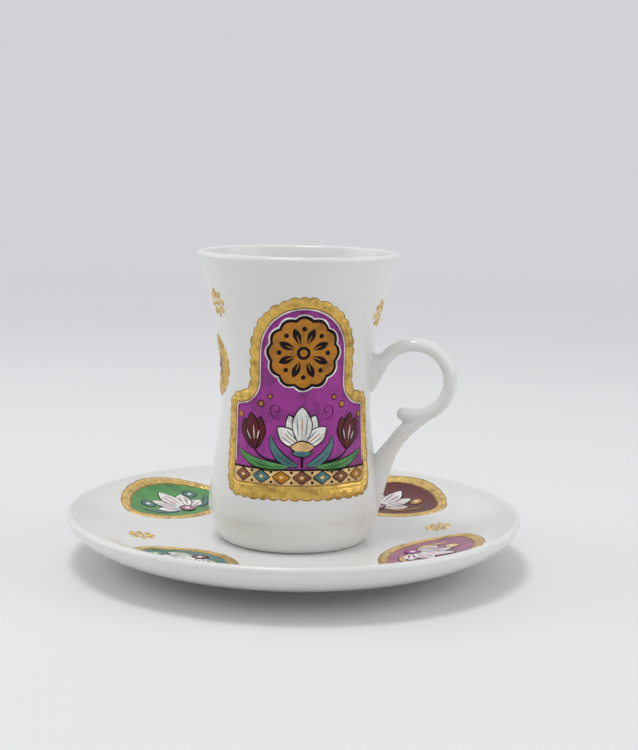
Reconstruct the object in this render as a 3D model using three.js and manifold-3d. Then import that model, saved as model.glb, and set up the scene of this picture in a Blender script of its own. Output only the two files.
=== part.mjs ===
// A waisted porcelain tea cup with a loop handle, standing on its saucer.
// Millimetres, +Z up. The origin is the centre of the saucer's foot, on the table.
// The handle points along +X, and bearings are degrees from it.

import * as THREE from 'three';
import { mergeVertices } from 'three/addons/utils/BufferGeometryUtils.js';
import { TessellateModifier } from 'three/addons/modifiers/TessellateModifier.js';
import Module from 'manifold-3d';

const wasm = await Module();
wasm.setup();

// Cup
const CUP_HEIGHT = 88.5;
const RIM_RADIUS = 30.8;
const RIM_FLARE = 20;
const LIP_RADIUS = 1.15;
const WAIST_RADIUS = 22.9;
const WAIST_HEIGHT = 42;
const BELLY_RADIUS = 26.4;
const BELLY_HEIGHT = 10.5;
const CUP_FOOT_RADIUS = 22.2;
const CUP_FOOT_WIDTH = 3;
const CUP_FOOT_RECESS = 1.2;
const CUP_WALL = 2.4;
const CUP_FLOOR = 4.5;
const FLOOR_CORNER_RISE = 6;
const FLOOR_CORNER_RUN = 12;

// Saucer
const SAUCER_DIAMETER = 140;
const SAUCER_HEIGHT = 16.6;
const SAUCER_LIP_RADIUS = 1.3;
const SAUCER_LIP_SLOPE = 38;
const SAUCER_WALL = 4;
const WELL_HEIGHT = 7.5;
const WELL_MARGIN = 5.8;
const SAUCER_FOOT_DIAMETER = 76;
const SAUCER_FOOT_WIDTH = 3.5;
const SAUCER_FOOT_DRAFT = 0.7;
const SAUCER_EDGE_DROP = 5.6;

// Handle, in the plane through the cup's axis
const LOOP_OFFSET = 13.4;
const LOOP_RISE = 8.4;
const LOOP_RADIUS = 10.9;
const STRAP_THICKNESS = 4.1;
const STRAP_WIDTH = 5.6;
const STRAP_START = 143;
const SPUR_ANGLE = -106;
const UPPER_ROOT_RISE = 2.8;
const UPPER_ROOT_LEAD = 2.2;
const UPPER_ROOT_THICKNESS = 15.4;
const UPPER_ROOT_WIDTH = 8;
const ROOT_FLARE_LENGTH = 8.5;
const ROOT_DEPTH = 3;
const LEG_START = -57;
const LEG_INSET = 0.3;
const LEG_THICKNESS = 4.7;
const LEG_WIDTH = 6.2;
const LEG_LEAVE = 17;
const LEG_APPROACH = 20.7;
const LEG_LEAN = 14.5;
const LOWER_ROOT_DROP = 2.5;
const LOWER_ROOT_DEPTH = 1.9;
const LEG_WEB = 1.6;

// Joints between pieces
const SEAT_GAP = 0.3;
const SLIP_THICKNESS = 0.6;
const SLIP_MARGIN = 0.6;

// Enamel and gold on the cup
const ENAMEL_THICKNESS = 0.3;
const GOLD_THICKNESS = 0.5;
const PANEL_WIDTH = 50;
const PANEL_SHOULDER = 8.5;
const PANEL_BOTTOM = 17;
const PANEL_RIM_MARGIN = 11.5;
const PANEL_NECK = 9;
const PANEL_CORNER = 1.5;
const PANEL_FRAME_WIDTH = 3.2;
const FRONT_PANEL_BEARING = -75;
const BACK_PANEL_BEARING = 105;
const MEDALLION_DIAMETER = 19;
const MEDALLION_RISE = 7;
const MEDALLION_BEARING = -163;
const MEDALLION_FRAME_WIDTH = 6;
const FLORET_DIAMETER = 8.8;
const FLORET_NOTCH = 1.1;
const FLORET_PETALS = 8;
const HIGH_FLORET_MARGIN = 15;
const LOW_FLORET_MARGIN = 17.5;
const CUP_FLORETS = [
  { bearing: -144, belowRim: HIGH_FLORET_MARGIN },
  { bearing: -8, belowRim: LOW_FLORET_MARGIN },
  { bearing: 36, belowRim: HIGH_FLORET_MARGIN },
  { bearing: 174, belowRim: LOW_FLORET_MARGIN },
];

// Enamel and gold on the saucer
const SAUCER_PANEL_WIDTH = 29;
const SAUCER_PANEL_FRAME_WIDTH = 2.8;
const GREEN_PANEL_LENGTH = 44;
const GREEN_PANEL_MARGIN = 3.5;
const TEAL_PANEL_LENGTH = 37;
const TEAL_PANEL_MARGIN = 9.5;
const MAUVE_PANEL_LENGTH = 50;
const MAUVE_PANEL_MARGIN = 8.5;
const MAROON_PANEL_LENGTH = 46;
const MAROON_PANEL_MARGIN = 3.5;
const SAUCER_PANELS = [
  { bearing: 150, fromEdge: GREEN_PANEL_MARGIN, length: GREEN_PANEL_LENGTH },
  { bearing: -123, fromEdge: TEAL_PANEL_MARGIN, length: TEAL_PANEL_LENGTH },
  { bearing: -19, fromEdge: MAUVE_PANEL_MARGIN, length: MAUVE_PANEL_LENGTH },
  { bearing: 62, fromEdge: MAROON_PANEL_MARGIN, length: MAROON_PANEL_LENGTH },
];
const SAUCER_FLORET_MARGIN = 23;
const SAUCER_FLORET_BEARINGS = [-162, 22, -75, 106];

// Fullness of the curves: how far each end of a curve runs straight on, as a share of that curve
const FOOT_OUT = 0.26;
const FOOT_UP = 0.08;
const BELLY_DOWN = 0.3;
const BELLY_UP = 0.32;
const WAIST_UP = 0.31;
const RIM_DOWN = 0.5;
const WELL_OUT = 0.55;
const FLANGE_IN = 0.25;
const UNDERSIDE_OUT = 0.55;

// Shares of the leg, from its top: where it has swollen to its full thickness, and the web to the wall
const LEG_SWELL = 0.3;
const WEB_START = 0.4;
const WEB_FULL = 0.66;

// Facets, in steps along each curve
const ROUND_STEPS = 48;
const SAUCER_STEPS = 56;
const FOOT_STEPS = 4;
const BELLY_STEPS = 5;
const FLARE_STEPS = 7;
const FLOOR_STEPS = 4;
const FLANGE_STEPS = 7;
const UNDERSIDE_STEPS = 6;
const SAUCER_LIP_STEPS = 4;
const SECTION_SIDES = 12;
const ROOT_STEPS = 8;
const LOOP_STEPS = 18;
const LEG_STEPS = 14;
const SLIP_STEPS = 7;
const ROUND_END_ANGLES = [30, 60, 80];
const ARC_STEPS = 3;
const PETAL_STEPS = 4;

// On bent sheets the facets are so short that a chord keeps half of the gap to the wall
const FACET = Math.sqrt(4 * WAIST_RADIUS * SEAT_GAP);
const FACET_PASSES = 12;
const SAME_POINT = 1e-6;

const radians = THREE.MathUtils.degToRad;
const at = (x, y) => new THREE.Vector2(x, y);
const lerp = THREE.MathUtils.lerp;
const smoothstep = THREE.MathUtils.smoothstep;

function fromAngle(degrees, length) {
  return at(length * Math.cos(radians(degrees)), length * Math.sin(radians(degrees)));
}

// Glazes, enamels and gold
const porcelain = () => new THREE.MeshStandardMaterial({ color: 0xf1f0eb, roughness: 0.12 });
const slip = () => new THREE.MeshStandardMaterial({ color: 0xefeee8, roughness: 0.18 });
const gold = () => new THREE.MeshStandardMaterial({ color: 0xc8962e, roughness: 0.25, metalness: 1 });
const enamel = (color) => new THREE.MeshStandardMaterial({ color, roughness: 0.3 });
const PURPLE = 0x7c2a80;
const OCHRE = 0xb4781c;
const SAUCER_ENAMELS = [0x3f8f45, 0x2f8f94, 0xa2527f, 0x5a1622];

// One closed mesh with shared vertices and without the flat triangles that a pole leaves.
function weld(geometry) {
  const loose = geometry.index ? geometry.toNonIndexed() : geometry.clone();
  loose.deleteAttribute('normal');
  loose.deleteAttribute('uv');
  const welded = mergeVertices(loose);
  const kept = [];
  for (let i = 0; i < welded.index.count; i += 3) {
    const [a, b, c] = [0, 1, 2].map((corner) => welded.index.getX(i + corner));
    if (a !== b && b !== c && c !== a) kept.push(a, b, c);
  }
  welded.setIndex(kept);
  return welded;
}

function toSolid(geometry) {
  const welded = weld(geometry);
  return new wasm.Manifold(new wasm.Mesh({
    numProp: 3,
    vertProperties: new Float32Array(welded.attributes.position.array),
    triVerts: new Uint32Array(welded.index.array),
  }));
}

function toGeometry(solid) {
  const mesh = solid.getMesh();
  const geometry = new THREE.BufferGeometry();
  geometry.setAttribute('position', new THREE.BufferAttribute(new Float32Array(mesh.vertProperties), 3));
  geometry.setIndex(Array.from(mesh.triVerts));
  return geometry;
}

// A profile of (radius, height) points, from the bottom to the top of the axis, turned about Z.
function turned(profile, steps) {
  return weld(new THREE.LatheGeometry(profile, steps).rotateX(Math.PI / 2));
}

// The value of one coordinate of a line of points where the other has a given value.
function lookUp(points, known, value, wanted) {
  const next = points.findIndex((point, i) => i > 0 && point[known] >= value);
  const end = next < 0 ? points.length - 1 : next;
  const [a, b] = [points[end - 1], points[end]];
  const share = THREE.MathUtils.clamp((value - a[known]) / (b[known] - a[known]), 0, 1);
  return lerp(a[wanted], b[wanted], share);
}

// Cup wall: foot to belly, belly to waist, waist to lip.
const flareDirection = fromAngle(90 - RIM_FLARE, 1);
const lipCentre = at(RIM_RADIUS - LIP_RADIUS, CUP_HEIGHT - LIP_RADIUS);
const lipOutside = lipCentre.clone().add(fromAngle(-RIM_FLARE, LIP_RADIUS));
const bellyRise = (WAIST_HEIGHT - BELLY_HEIGHT) * BELLY_UP;
const flareRise = lipOutside.y - WAIST_HEIGHT;
const wallCurves = [
  new THREE.CubicBezierCurve(
    at(CUP_FOOT_RADIUS, 0),
    at(lerp(CUP_FOOT_RADIUS, BELLY_RADIUS, FOOT_OUT), BELLY_HEIGHT * FOOT_UP),
    at(BELLY_RADIUS, BELLY_HEIGHT * (1 - BELLY_DOWN)),
    at(BELLY_RADIUS, BELLY_HEIGHT),
  ),
  new THREE.CubicBezierCurve(
    at(BELLY_RADIUS, BELLY_HEIGHT),
    at(BELLY_RADIUS, BELLY_HEIGHT + bellyRise),
    at(WAIST_RADIUS, WAIST_HEIGHT - bellyRise),
    at(WAIST_RADIUS, WAIST_HEIGHT),
  ),
  new THREE.CubicBezierCurve(
    at(WAIST_RADIUS, WAIST_HEIGHT),
    at(WAIST_RADIUS, WAIST_HEIGHT + flareRise * WAIST_UP),
    lipOutside.clone().addScaledVector(flareDirection, -flareRise * RIM_DOWN),
    lipOutside,
  ),
];
const wallSteps = [FOOT_STEPS, BELLY_STEPS, FLARE_STEPS];

// Points of the wall from foot to lip, moved out along its normal by an offset for each height.
function wallPoints(offset) {
  return wallCurves.flatMap((curve, i) => {
    const steps = wallSteps[i];
    const first = i === 0 ? 0 : 1;
    return Array.from({ length: steps + 1 - first }, (_, k) => {
      const share = (k + first) / steps;
      const point = curve.getPoint(share);
      const along = curve.getTangent(share);
      return point.addScaledVector(at(along.y, -along.x), offset(point.y));
    });
  });
}

const outerWall = wallPoints(() => 0);
const cupRadius = (height) => lookUp(outerWall, 'y', height, 'x');

// The wall thins from its full thickness at the waist to the lip.
function wallInset(height) {
  const share = THREE.MathUtils.clamp((height - WAIST_HEIGHT) / flareRise, 0, 1);
  return -lerp(CUP_WALL, 2 * LIP_RADIUS, share);
}

function cupBody() {
  const lipAngles = [(90 - RIM_FLARE) / 2, 90, (270 - RIM_FLARE) / 2];
  const lip = lipAngles.map((angle) => lipCentre.clone().add(fromAngle(angle, LIP_RADIUS)));
  const inside = wallPoints(wallInset).filter((point) => point.y > CUP_FLOOR + FLOOR_CORNER_RISE).reverse();
  const cornerTop = inside[inside.length - 1];
  const corner = new THREE.QuadraticBezierCurve(
    cornerTop, at(cornerTop.x, CUP_FLOOR), at(cornerTop.x - FLOOR_CORNER_RUN, CUP_FLOOR),
  ).getPoints(FLOOR_STEPS).slice(1);
  const footInside = CUP_FOOT_RADIUS - CUP_FOOT_WIDTH;
  const profile = [
    at(0, CUP_FOOT_RECESS), at(footInside - CUP_FOOT_RECESS, CUP_FOOT_RECESS), at(footInside, 0),
    ...outerWall, ...lip, ...inside, ...corner, at(0, CUP_FLOOR),
  ];
  return turned(profile, ROUND_STEPS);
}

// The cup's outside as a full solid, swollen by a margin, which seats what is joined to the wall.
function cupEnvelope(margin) {
  const wall = wallPoints(() => margin);
  const bottom = wall[0].y - margin;
  const top = wall[wall.length - 1].y;
  return toSolid(turned([at(0, bottom), at(wall[0].x, bottom), ...wall, at(0, top)], ROUND_STEPS));
}

// A strap with oval sections along a line in the plane of X and Z.
function loft(stations) {
  const corners = stations.flatMap(({ centre, along, thickness, width }) =>
    Array.from({ length: SECTION_SIDES }, (_, i) => {
      const turn = (2 * Math.PI * i) / SECTION_SIDES;
      const across = (thickness / 2) * Math.cos(turn);
      return [centre.x - along.y * across, (width / 2) * Math.sin(turn), centre.y + along.x * across];
    }));
  const last = stations.length - 1;
  for (const { centre } of [stations[0], stations[last]]) corners.push([centre.x, 0, centre.y]);
  const [startTip, endTip] = [corners.length - 2, corners.length - 1];
  const faces = [];
  for (let side = 0; side < SECTION_SIDES; side += 1) {
    const next = (side + 1) % SECTION_SIDES;
    for (let ring = 0; ring < last; ring += 1) {
      const [a, b] = [ring * SECTION_SIDES + side, ring * SECTION_SIDES + next];
      faces.push(a, b + SECTION_SIDES, b, a, a + SECTION_SIDES, b + SECTION_SIDES);
    }
    faces.push(startTip, side, next, endTip, last * SECTION_SIDES + next, last * SECTION_SIDES + side);
  }
  const geometry = new THREE.BufferGeometry();
  geometry.setAttribute('position', new THREE.Float32BufferAttribute(corners.flat(), 3));
  geometry.setIndex(faces);
  return geometry;
}

// A round end on a strap, as a few smaller and smaller sections.
function roundEnd({ centre, along, thickness, width }) {
  return ROUND_END_ANGLES.map((degrees) => {
    const shrink = Math.cos(radians(degrees));
    return {
      centre: centre.clone().addScaledVector(along, (thickness / 2) * Math.sin(radians(degrees))),
      along,
      thickness: thickness * shrink,
      width: width * shrink,
    };
  });
}

// Loop of the handle, from inside the wall, over the top and round to the spur.
const loopHeight = WAIST_HEIGHT + LOOP_RISE;
const loopCentre = at(WAIST_RADIUS + LOOP_OFFSET, loopHeight);
const loopPoint = (angle) => loopCentre.clone().add(fromAngle(angle, LOOP_RADIUS));
const clockwise = (angle) => fromAngle(angle - 90, 1);
const upperRootHeight = loopHeight + UPPER_ROOT_RISE;
const upperRoot = at(cupRadius(upperRootHeight) - ROOT_DEPTH, upperRootHeight);
const loopEntry = loopPoint(STRAP_START);
const rootCurve = new THREE.QuadraticBezierCurve(
  upperRoot, loopEntry.clone().addScaledVector(clockwise(STRAP_START), -UPPER_ROOT_LEAD), loopEntry,
);

function strapStations(swell) {
  const line = [];
  for (let k = 0; k < ROOT_STEPS; k += 1) {
    const share = k / ROOT_STEPS;
    line.push({ centre: rootCurve.getPoint(share), along: rootCurve.getTangent(share) });
  }
  for (let k = 0; k <= LOOP_STEPS; k += 1) {
    const angle = lerp(STRAP_START, SPUR_ANGLE, k / LOOP_STEPS);
    line.push({ centre: loopPoint(angle), along: clockwise(angle) });
  }
  let travel = 0;
  const stations = line.map(({ centre, along }, i) => {
    travel += i > 0 ? centre.distanceTo(line[i - 1].centre) : 0;
    const flare = 1 - smoothstep(travel, 0, ROOT_FLARE_LENGTH);
    return {
      centre,
      along,
      thickness: lerp(STRAP_THICKNESS, UPPER_ROOT_THICKNESS, flare) + 2 * swell,
      width: lerp(STRAP_WIDTH, UPPER_ROOT_WIDTH, flare) + 2 * swell,
    };
  });
  return [...stations, ...roundEnd(stations[stations.length - 1])];
}

// Leg of the handle, from inside the loop down into the belly.
const lowerRootHeight = BELLY_HEIGHT - LOWER_ROOT_DROP;
const lowerRoot = at(cupRadius(lowerRootHeight) - LOWER_ROOT_DEPTH, lowerRootHeight);
const legTop = loopPoint(LEG_START);
const legCurve = new THREE.CubicBezierCurve(
  legTop,
  legTop.clone().addScaledVector(clockwise(LEG_START), LEG_LEAVE),
  lowerRoot.clone().add(fromAngle(90 - LEG_LEAN, LEG_APPROACH)),
  lowerRoot,
);

function legStations(swell) {
  const stations = Array.from({ length: LEG_STEPS + 1 }, (_, k) => {
    const share = k / LEG_STEPS;
    const along = legCurve.getTangent(share);
    const ramp = smoothstep(share, 0, LEG_SWELL);
    const web = LEG_WEB * smoothstep(share, WEB_START, WEB_FULL) * (1 - smoothstep(share, WEB_FULL, 1));
    return {
      centre: legCurve.getPoint(share).addScaledVector(at(along.y, -along.x), web / 2),
      along,
      thickness: lerp(STRAP_THICKNESS - LEG_INSET, LEG_THICKNESS, ramp) + web + 2 * swell,
      width: lerp(STRAP_WIDTH - LEG_INSET, LEG_WIDTH, ramp) + 2 * swell,
    };
  });
  return [...stations, ...roundEnd(stations[LEG_STEPS])];
}

// The handle stops short of the wall by the slip and its two gaps.
function handle() {
  const seat = cupEnvelope(SEAT_GAP + SLIP_THICKNESS + SEAT_GAP);
  const strap = toSolid(loft(strapStations(0)));
  const leg = toSolid(loft(legStations(0)));
  return toGeometry(strap.add(leg).subtract(seat));
}

// A pad of slip on the wall, a little larger than the root that it holds.
function slipPad(stations) {
  const outside = cupEnvelope(SEAT_GAP + SLIP_THICKNESS);
  return toGeometry(toSolid(loft(stations)).intersect(outside).subtract(cupEnvelope(SEAT_GAP)));
}

// Saucer: well, curved flange, round lip, underside and foot ring.
const saucerRadius = SAUCER_DIAMETER / 2;
const wellRadius = CUP_FOOT_RADIUS + WELL_MARGIN;
const saucerLipCentre = at(saucerRadius - SAUCER_LIP_RADIUS, SAUCER_HEIGHT - SAUCER_LIP_RADIUS);
const lipInside = saucerLipCentre.clone().add(fromAngle(90 + SAUCER_LIP_SLOPE, SAUCER_LIP_RADIUS));
const flangeRun = lipInside.x - wellRadius;
const flange = new THREE.CubicBezierCurve(
  at(wellRadius, WELL_HEIGHT),
  at(wellRadius + flangeRun * WELL_OUT, WELL_HEIGHT),
  lipInside.clone().sub(fromAngle(SAUCER_LIP_SLOPE, flangeRun * FLANGE_IN)),
  lipInside,
).getPoints(FLANGE_STEPS);
const saucerHeight = (radius) => (radius < wellRadius ? WELL_HEIGHT : lookUp(flange, 'x', radius, 'y'));

function saucer() {
  const footOutside = SAUCER_FOOT_DIAMETER / 2;
  const footInside = footOutside - SAUCER_FOOT_WIDTH;
  const underWell = WELL_HEIGHT - SAUCER_WALL;
  const underFlange = saucerHeight(footOutside) - SAUCER_WALL;
  const lipOutermost = at(saucerRadius, saucerLipCentre.y);
  const underRun = saucerRadius - footOutside;
  const under = new THREE.CubicBezierCurve(
    at(footOutside, underFlange),
    at(footOutside + underRun * UNDERSIDE_OUT, underFlange),
    at(saucerRadius - SAUCER_LIP_RADIUS, saucerLipCentre.y - SAUCER_EDGE_DROP),
    lipOutermost,
  ).getPoints(UNDERSIDE_STEPS);
  const lip = [];
  for (let k = 1; k < SAUCER_LIP_STEPS; k += 1) {
    const angle = (k * 90) / (SAUCER_LIP_STEPS - 1);
    lip.push(saucerLipCentre.clone().add(fromAngle(angle, SAUCER_LIP_RADIUS)));
  }
  const profile = [
    at(0, underWell), at(footInside - SAUCER_FOOT_DRAFT, underWell),
    at(footInside, 0), at(footOutside - SAUCER_FOOT_DRAFT, 0),
    ...under, ...lip, ...flange.slice().reverse(), at(0, WELL_HEIGHT),
  ];
  return turned(profile, SAUCER_STEPS);
}

// A flat shape with a thickness, in small facets so that it can be bent.
function sheet(shape, thickness) {
  const options = { depth: thickness, bevelEnabled: false, curveSegments: ARC_STEPS };
  const block = new THREE.ExtrudeGeometry(shape, options);
  return weld(new TessellateModifier(FACET, FACET_PASSES).modify(block));
}

// Pairs of points, with more between those that lie further apart than a facet.
function refine(pairs) {
  return pairs.flatMap(([outer, inner], i) => {
    if (i === 0) return [[outer, inner]];
    const [outerBefore, innerBefore] = pairs[i - 1];
    const parts = Math.max(1, Math.ceil(outer.distanceTo(outerBefore) / FACET));
    return Array.from({ length: parts }, (_, k) => [
      outerBefore.clone().lerp(outer, (k + 1) / parts),
      innerBefore.clone().lerp(inner, (k + 1) / parts),
    ]);
  });
}

// The points of a closed path, without the repeats that rounding leaves where its curves meet.
function pathPoints(path) {
  const points = path.getPoints(ARC_STEPS);
  return points.filter((point, i) => point.distanceTo(points.at(i - 1)) > SAME_POINT);
}

// The band between an outline and its inset, with a thickness.
function band(outline, inset, thickness) {
  const [outer, inner] = [0, inset].map((step) => pathPoints(outline(new THREE.Path(), step)));
  const pairs = outer.map((point, i) => [point, inner[i]]);
  const loop = refine([...pairs, pairs[0]]).slice(1);
  const corners = loop.flatMap(([a, b]) => [
    [a.x, a.y, 0], [a.x, a.y, thickness], [b.x, b.y, thickness], [b.x, b.y, 0],
  ]);
  const faces = loop.flatMap((_, i) => [0, 1, 2, 3].flatMap((side) => {
    const next = (i + 1) % loop.length;
    const turn = (side + 1) % 4;
    const [a, b, c, d] = [4 * i + side, 4 * next + side, 4 * next + turn, 4 * i + turn];
    return [a, b, c, a, c, d];
  }));
  const geometry = new THREE.BufferGeometry();
  geometry.setAttribute('position', new THREE.Float32BufferAttribute(corners.flat(), 3));
  geometry.setIndex(faces);
  return geometry;
}

// A sheet that fills an outline with mirrored halves, row by row from its foot to its crown.
function ladder(shape, thickness) {
  const right = pathPoints(shape).filter((point) => point.x > -thickness);
  const rungs = refine(right.map((point) => [point, point])).map(([point]) => point);
  const rows = rungs.length - 1;
  const columns = Math.ceil((2 * Math.max(...rungs.map((point) => point.x))) / FACET);
  const block = weld(new THREE.BoxGeometry(2, rows, thickness, columns, rows, 1));
  return moveEach(block, (x, y, depth) => {
    const end = rungs[Math.round(y + rows / 2)];
    return [x * Math.max(end.x, thickness), end.y, depth + thickness / 2];
  });
}

function moveEach(geometry, place) {
  const points = geometry.attributes.position;
  for (let i = 0; i < points.count; i += 1) {
    points.setXYZ(i, ...place(points.getX(i), points.getY(i), points.getZ(i)));
  }
  return geometry;
}

// Laid on the cup's wall, facing +X: the flat piece's x runs round the cup and its y is the height.
function onCup(flat) {
  return moveEach(flat, (x, y, depth) => {
    const wall = cupRadius(y);
    const radius = wall + SEAT_GAP + depth;
    return [radius * Math.cos(x / wall), radius * Math.sin(x / wall), y];
  });
}

// Laid on the saucer: the flat piece's y runs outwards from the axis along +X.
function onSaucer(flat) {
  return moveEach(flat, (x, y, depth) => [y, -x, saucerHeight(Math.hypot(x, y)) + SEAT_GAP + depth]);
}

// An arc in degrees, added to a path in pieces of a quarter turn at most.
function addArc(path, x, y, radius, from, to) {
  const pieces = Math.ceil(Math.abs(to - from) / 90);
  const step = (to - from) / pieces;
  for (let k = 0; k < pieces; k += 1) {
    path.absarc(x, y, radius, radians(from + k * step), radians(from + (k + 1) * step), step < 0);
  }
}

// Arched niche with shoulders, drawn inside its full outline by an inset.
function nicheOutline(path, inset) {
  const half = PANEL_WIDTH / 2;
  const crown = half - PANEL_SHOULDER;
  const corner = PANEL_CORNER + PANEL_FRAME_WIDTH + SEAT_GAP;
  const cove = PANEL_SHOULDER - corner;
  const arch = CUP_HEIGHT - PANEL_RIM_MARGIN - crown;
  const neck = arch - PANEL_NECK;
  const shoulder = neck - corner - cove;
  path.moveTo(corner - half, PANEL_BOTTOM + inset);
  addArc(path, half - corner, PANEL_BOTTOM + corner, corner - inset, -90, 0);
  addArc(path, half - corner, shoulder, corner - inset, 0, 90);
  addArc(path, crown + cove, neck, cove + inset, 270, 180);
  addArc(path, 0, arch, crown - inset, 0, 180);
  addArc(path, -crown - cove, neck, cove + inset, 0, -90);
  addArc(path, corner - half, shoulder, corner - inset, 90, 180);
  addArc(path, corner - half, PANEL_BOTTOM + corner, corner - inset, 180, 270);
  return path;
}

// Medallion between two panels, a little above their middle.
function discOutline(path, inset) {
  const panelMiddle = (PANEL_BOTTOM + CUP_HEIGHT - PANEL_RIM_MARGIN) / 2;
  addArc(path, 0, panelMiddle + MEDALLION_RISE, MEDALLION_DIAMETER / 2 - inset, 0, 360);
  return path;
}

// Pointed oval between two equal arcs, long across the saucer's radius, at a distance from its edge.
function leafOutline(fromEdge, length) {
  const half = length / 2;
  const rise = SAUCER_PANEL_WIDTH / 2;
  const centre = saucerRadius - fromEdge - rise;
  const arcRadius = (half * half + rise * rise) / (2 * rise);
  const drop = arcRadius - rise;
  return (path, inset) => {
    const reach = arcRadius - inset;
    const spread = THREE.MathUtils.radToDeg(Math.acos(drop / reach));
    for (const [middle, y] of [[90, centre - drop], [270, centre + drop]]) {
      addArc(path, 0, y, reach, middle - spread, middle);
      addArc(path, 0, y, reach, middle, middle + spread);
    }
    return path;
  };
}

// Flower outline with round petals.
function floretOutline(height) {
  const count = FLORET_PETALS * PETAL_STEPS;
  const points = Array.from({ length: count }, (_, i) => {
    const turn = (2 * Math.PI * i) / count;
    const valley = 1 - Math.abs(Math.cos((FLORET_PETALS * turn) / 2));
    const radius = FLORET_DIAMETER / 2 - FLORET_NOTCH * valley;
    return at(radius * Math.cos(turn), height + radius * Math.sin(turn));
  });
  return new THREE.Shape(points);
}

// A panel lies inside its frame, with a gap.
const within = (outline, frameWidth) => outline(new THREE.Shape(), frameWidth + SEAT_GAP);

function piece(name, geometry, material, bearing = 0) {
  geometry.computeVertexNormals();
  const mesh = new THREE.Mesh(geometry, material);
  mesh.name = name;
  mesh.rotation.z = radians(bearing);
  return mesh;
}

function buildCup() {
  const cup = new THREE.Group();
  cup.position.z = WELL_HEIGHT;
  const strapRoot = strapStations(SLIP_MARGIN).slice(0, ROOT_STEPS + 2);
  const legRoot = legStations(SLIP_MARGIN).slice(SLIP_STEPS);
  cup.add(
    piece('cup_body', cupBody(), porcelain()),
    piece('cup_handle', handle(), porcelain()),
    piece('upper_slip_joint', slipPad(strapRoot), slip()),
    piece('lower_slip_joint', slipPad(legRoot), slip()),
  );
  const panels = { front_panel: FRONT_PANEL_BEARING, back_panel: BACK_PANEL_BEARING };
  for (const [name, bearing] of Object.entries(panels)) {
    const panel = ladder(within(nicheOutline, PANEL_FRAME_WIDTH), ENAMEL_THICKNESS);
    const frame = band(nicheOutline, PANEL_FRAME_WIDTH, GOLD_THICKNESS);
    cup.add(
      piece(name, onCup(panel), enamel(PURPLE), bearing),
      piece(`${name}_frame`, onCup(frame), gold(), bearing),
    );
  }
  const disc = sheet(within(discOutline, MEDALLION_FRAME_WIDTH), ENAMEL_THICKNESS);
  const discFrame = band(discOutline, MEDALLION_FRAME_WIDTH, GOLD_THICKNESS);
  cup.add(
    piece('side_medallion', onCup(disc), enamel(OCHRE), MEDALLION_BEARING),
    piece('side_medallion_frame', onCup(discFrame), gold(), MEDALLION_BEARING),
  );
  CUP_FLORETS.forEach(({ bearing, belowRim }, i) => {
    const flower = sheet(floretOutline(CUP_HEIGHT - belowRim), GOLD_THICKNESS);
    cup.add(piece(`cup_floret_${i + 1}`, onCup(flower), gold(), bearing));
  });
  return cup;
}

function buildSaucer() {
  const group = new THREE.Group();
  group.add(piece('saucer_plate', saucer(), porcelain()));
  SAUCER_PANELS.forEach(({ bearing, fromEdge, length }, i) => {
    const leaf = leafOutline(fromEdge, length);
    const panel = sheet(within(leaf, SAUCER_PANEL_FRAME_WIDTH), ENAMEL_THICKNESS);
    const frame = band(leaf, SAUCER_PANEL_FRAME_WIDTH, GOLD_THICKNESS);
    group.add(
      piece(`saucer_panel_${i + 1}`, onSaucer(panel), enamel(SAUCER_ENAMELS[i]), bearing),
      piece(`saucer_panel_frame_${i + 1}`, onSaucer(frame), gold(), bearing),
    );
  });
  SAUCER_FLORET_BEARINGS.forEach((bearing, i) => {
    const flower = sheet(floretOutline(saucerRadius - SAUCER_FLORET_MARGIN), GOLD_THICKNESS);
    group.add(piece(`saucer_floret_${i + 1}`, onSaucer(flower), gold(), bearing));
  });
  return group;
}

const teacup = new THREE.Group();
teacup.add(buildSaucer(), buildCup());

export default teacup;
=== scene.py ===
import bisect
import math

import bmesh
import bpy
from bpy.props import FloatProperty, FloatVectorProperty, IntProperty, PointerProperty
from mathutils import Matrix, Vector, noise
from mathutils.geometry import interpolate_bezier


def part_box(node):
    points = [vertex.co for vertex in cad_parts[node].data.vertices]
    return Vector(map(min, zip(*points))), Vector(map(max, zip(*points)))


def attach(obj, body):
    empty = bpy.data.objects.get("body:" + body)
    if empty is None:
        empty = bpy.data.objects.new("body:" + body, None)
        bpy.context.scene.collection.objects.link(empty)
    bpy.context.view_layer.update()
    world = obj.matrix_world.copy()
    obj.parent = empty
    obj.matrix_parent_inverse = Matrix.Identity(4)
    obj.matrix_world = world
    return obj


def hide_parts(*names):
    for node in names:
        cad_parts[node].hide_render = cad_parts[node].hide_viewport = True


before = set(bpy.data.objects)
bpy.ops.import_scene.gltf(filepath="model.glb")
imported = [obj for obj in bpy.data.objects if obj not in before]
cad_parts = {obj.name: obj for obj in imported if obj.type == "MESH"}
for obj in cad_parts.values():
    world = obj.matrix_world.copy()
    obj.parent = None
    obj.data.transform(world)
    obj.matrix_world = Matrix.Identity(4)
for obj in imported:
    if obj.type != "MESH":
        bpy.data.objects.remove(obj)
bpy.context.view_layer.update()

bl_info = {
    "name": "Porcelain Tea Cup",
    "version": (1, 0, 0),
    "blender": (4, 5, 0),
    "location": "View3D > Sidebar > Tea Cup",
    "description": "Builds a waisted tea cup and its saucer, with glaze, enamel and raised gold",
    "category": "Add Mesh",
}

MM = 0.001
CUP_LOW, CUP_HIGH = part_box("cup_body")
_, SAUCER_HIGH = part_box("saucer_plate")

# Fullness of turned curves: how far each end runs straight on, as a share of the curve
FOOT_OUT, FOOT_UP = 0.26, 0.08
BELLY_DOWN, BELLY_UP = 0.3, 0.32
WAIST_UP, RIM_DOWN = 0.31, 0.5
WELL_OUT, FLANGE_IN, UNDERSIDE_OUT = 0.55, 0.25, 0.55

# Rounded edges of the foot rings, and of the corner between the cup's floor and wall
CUP_RING_ROUND = 0.3 * MM
SAUCER_RING_ROUND = 0.5 * MM
FLOOR_CORNER = 6 * MM

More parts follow.
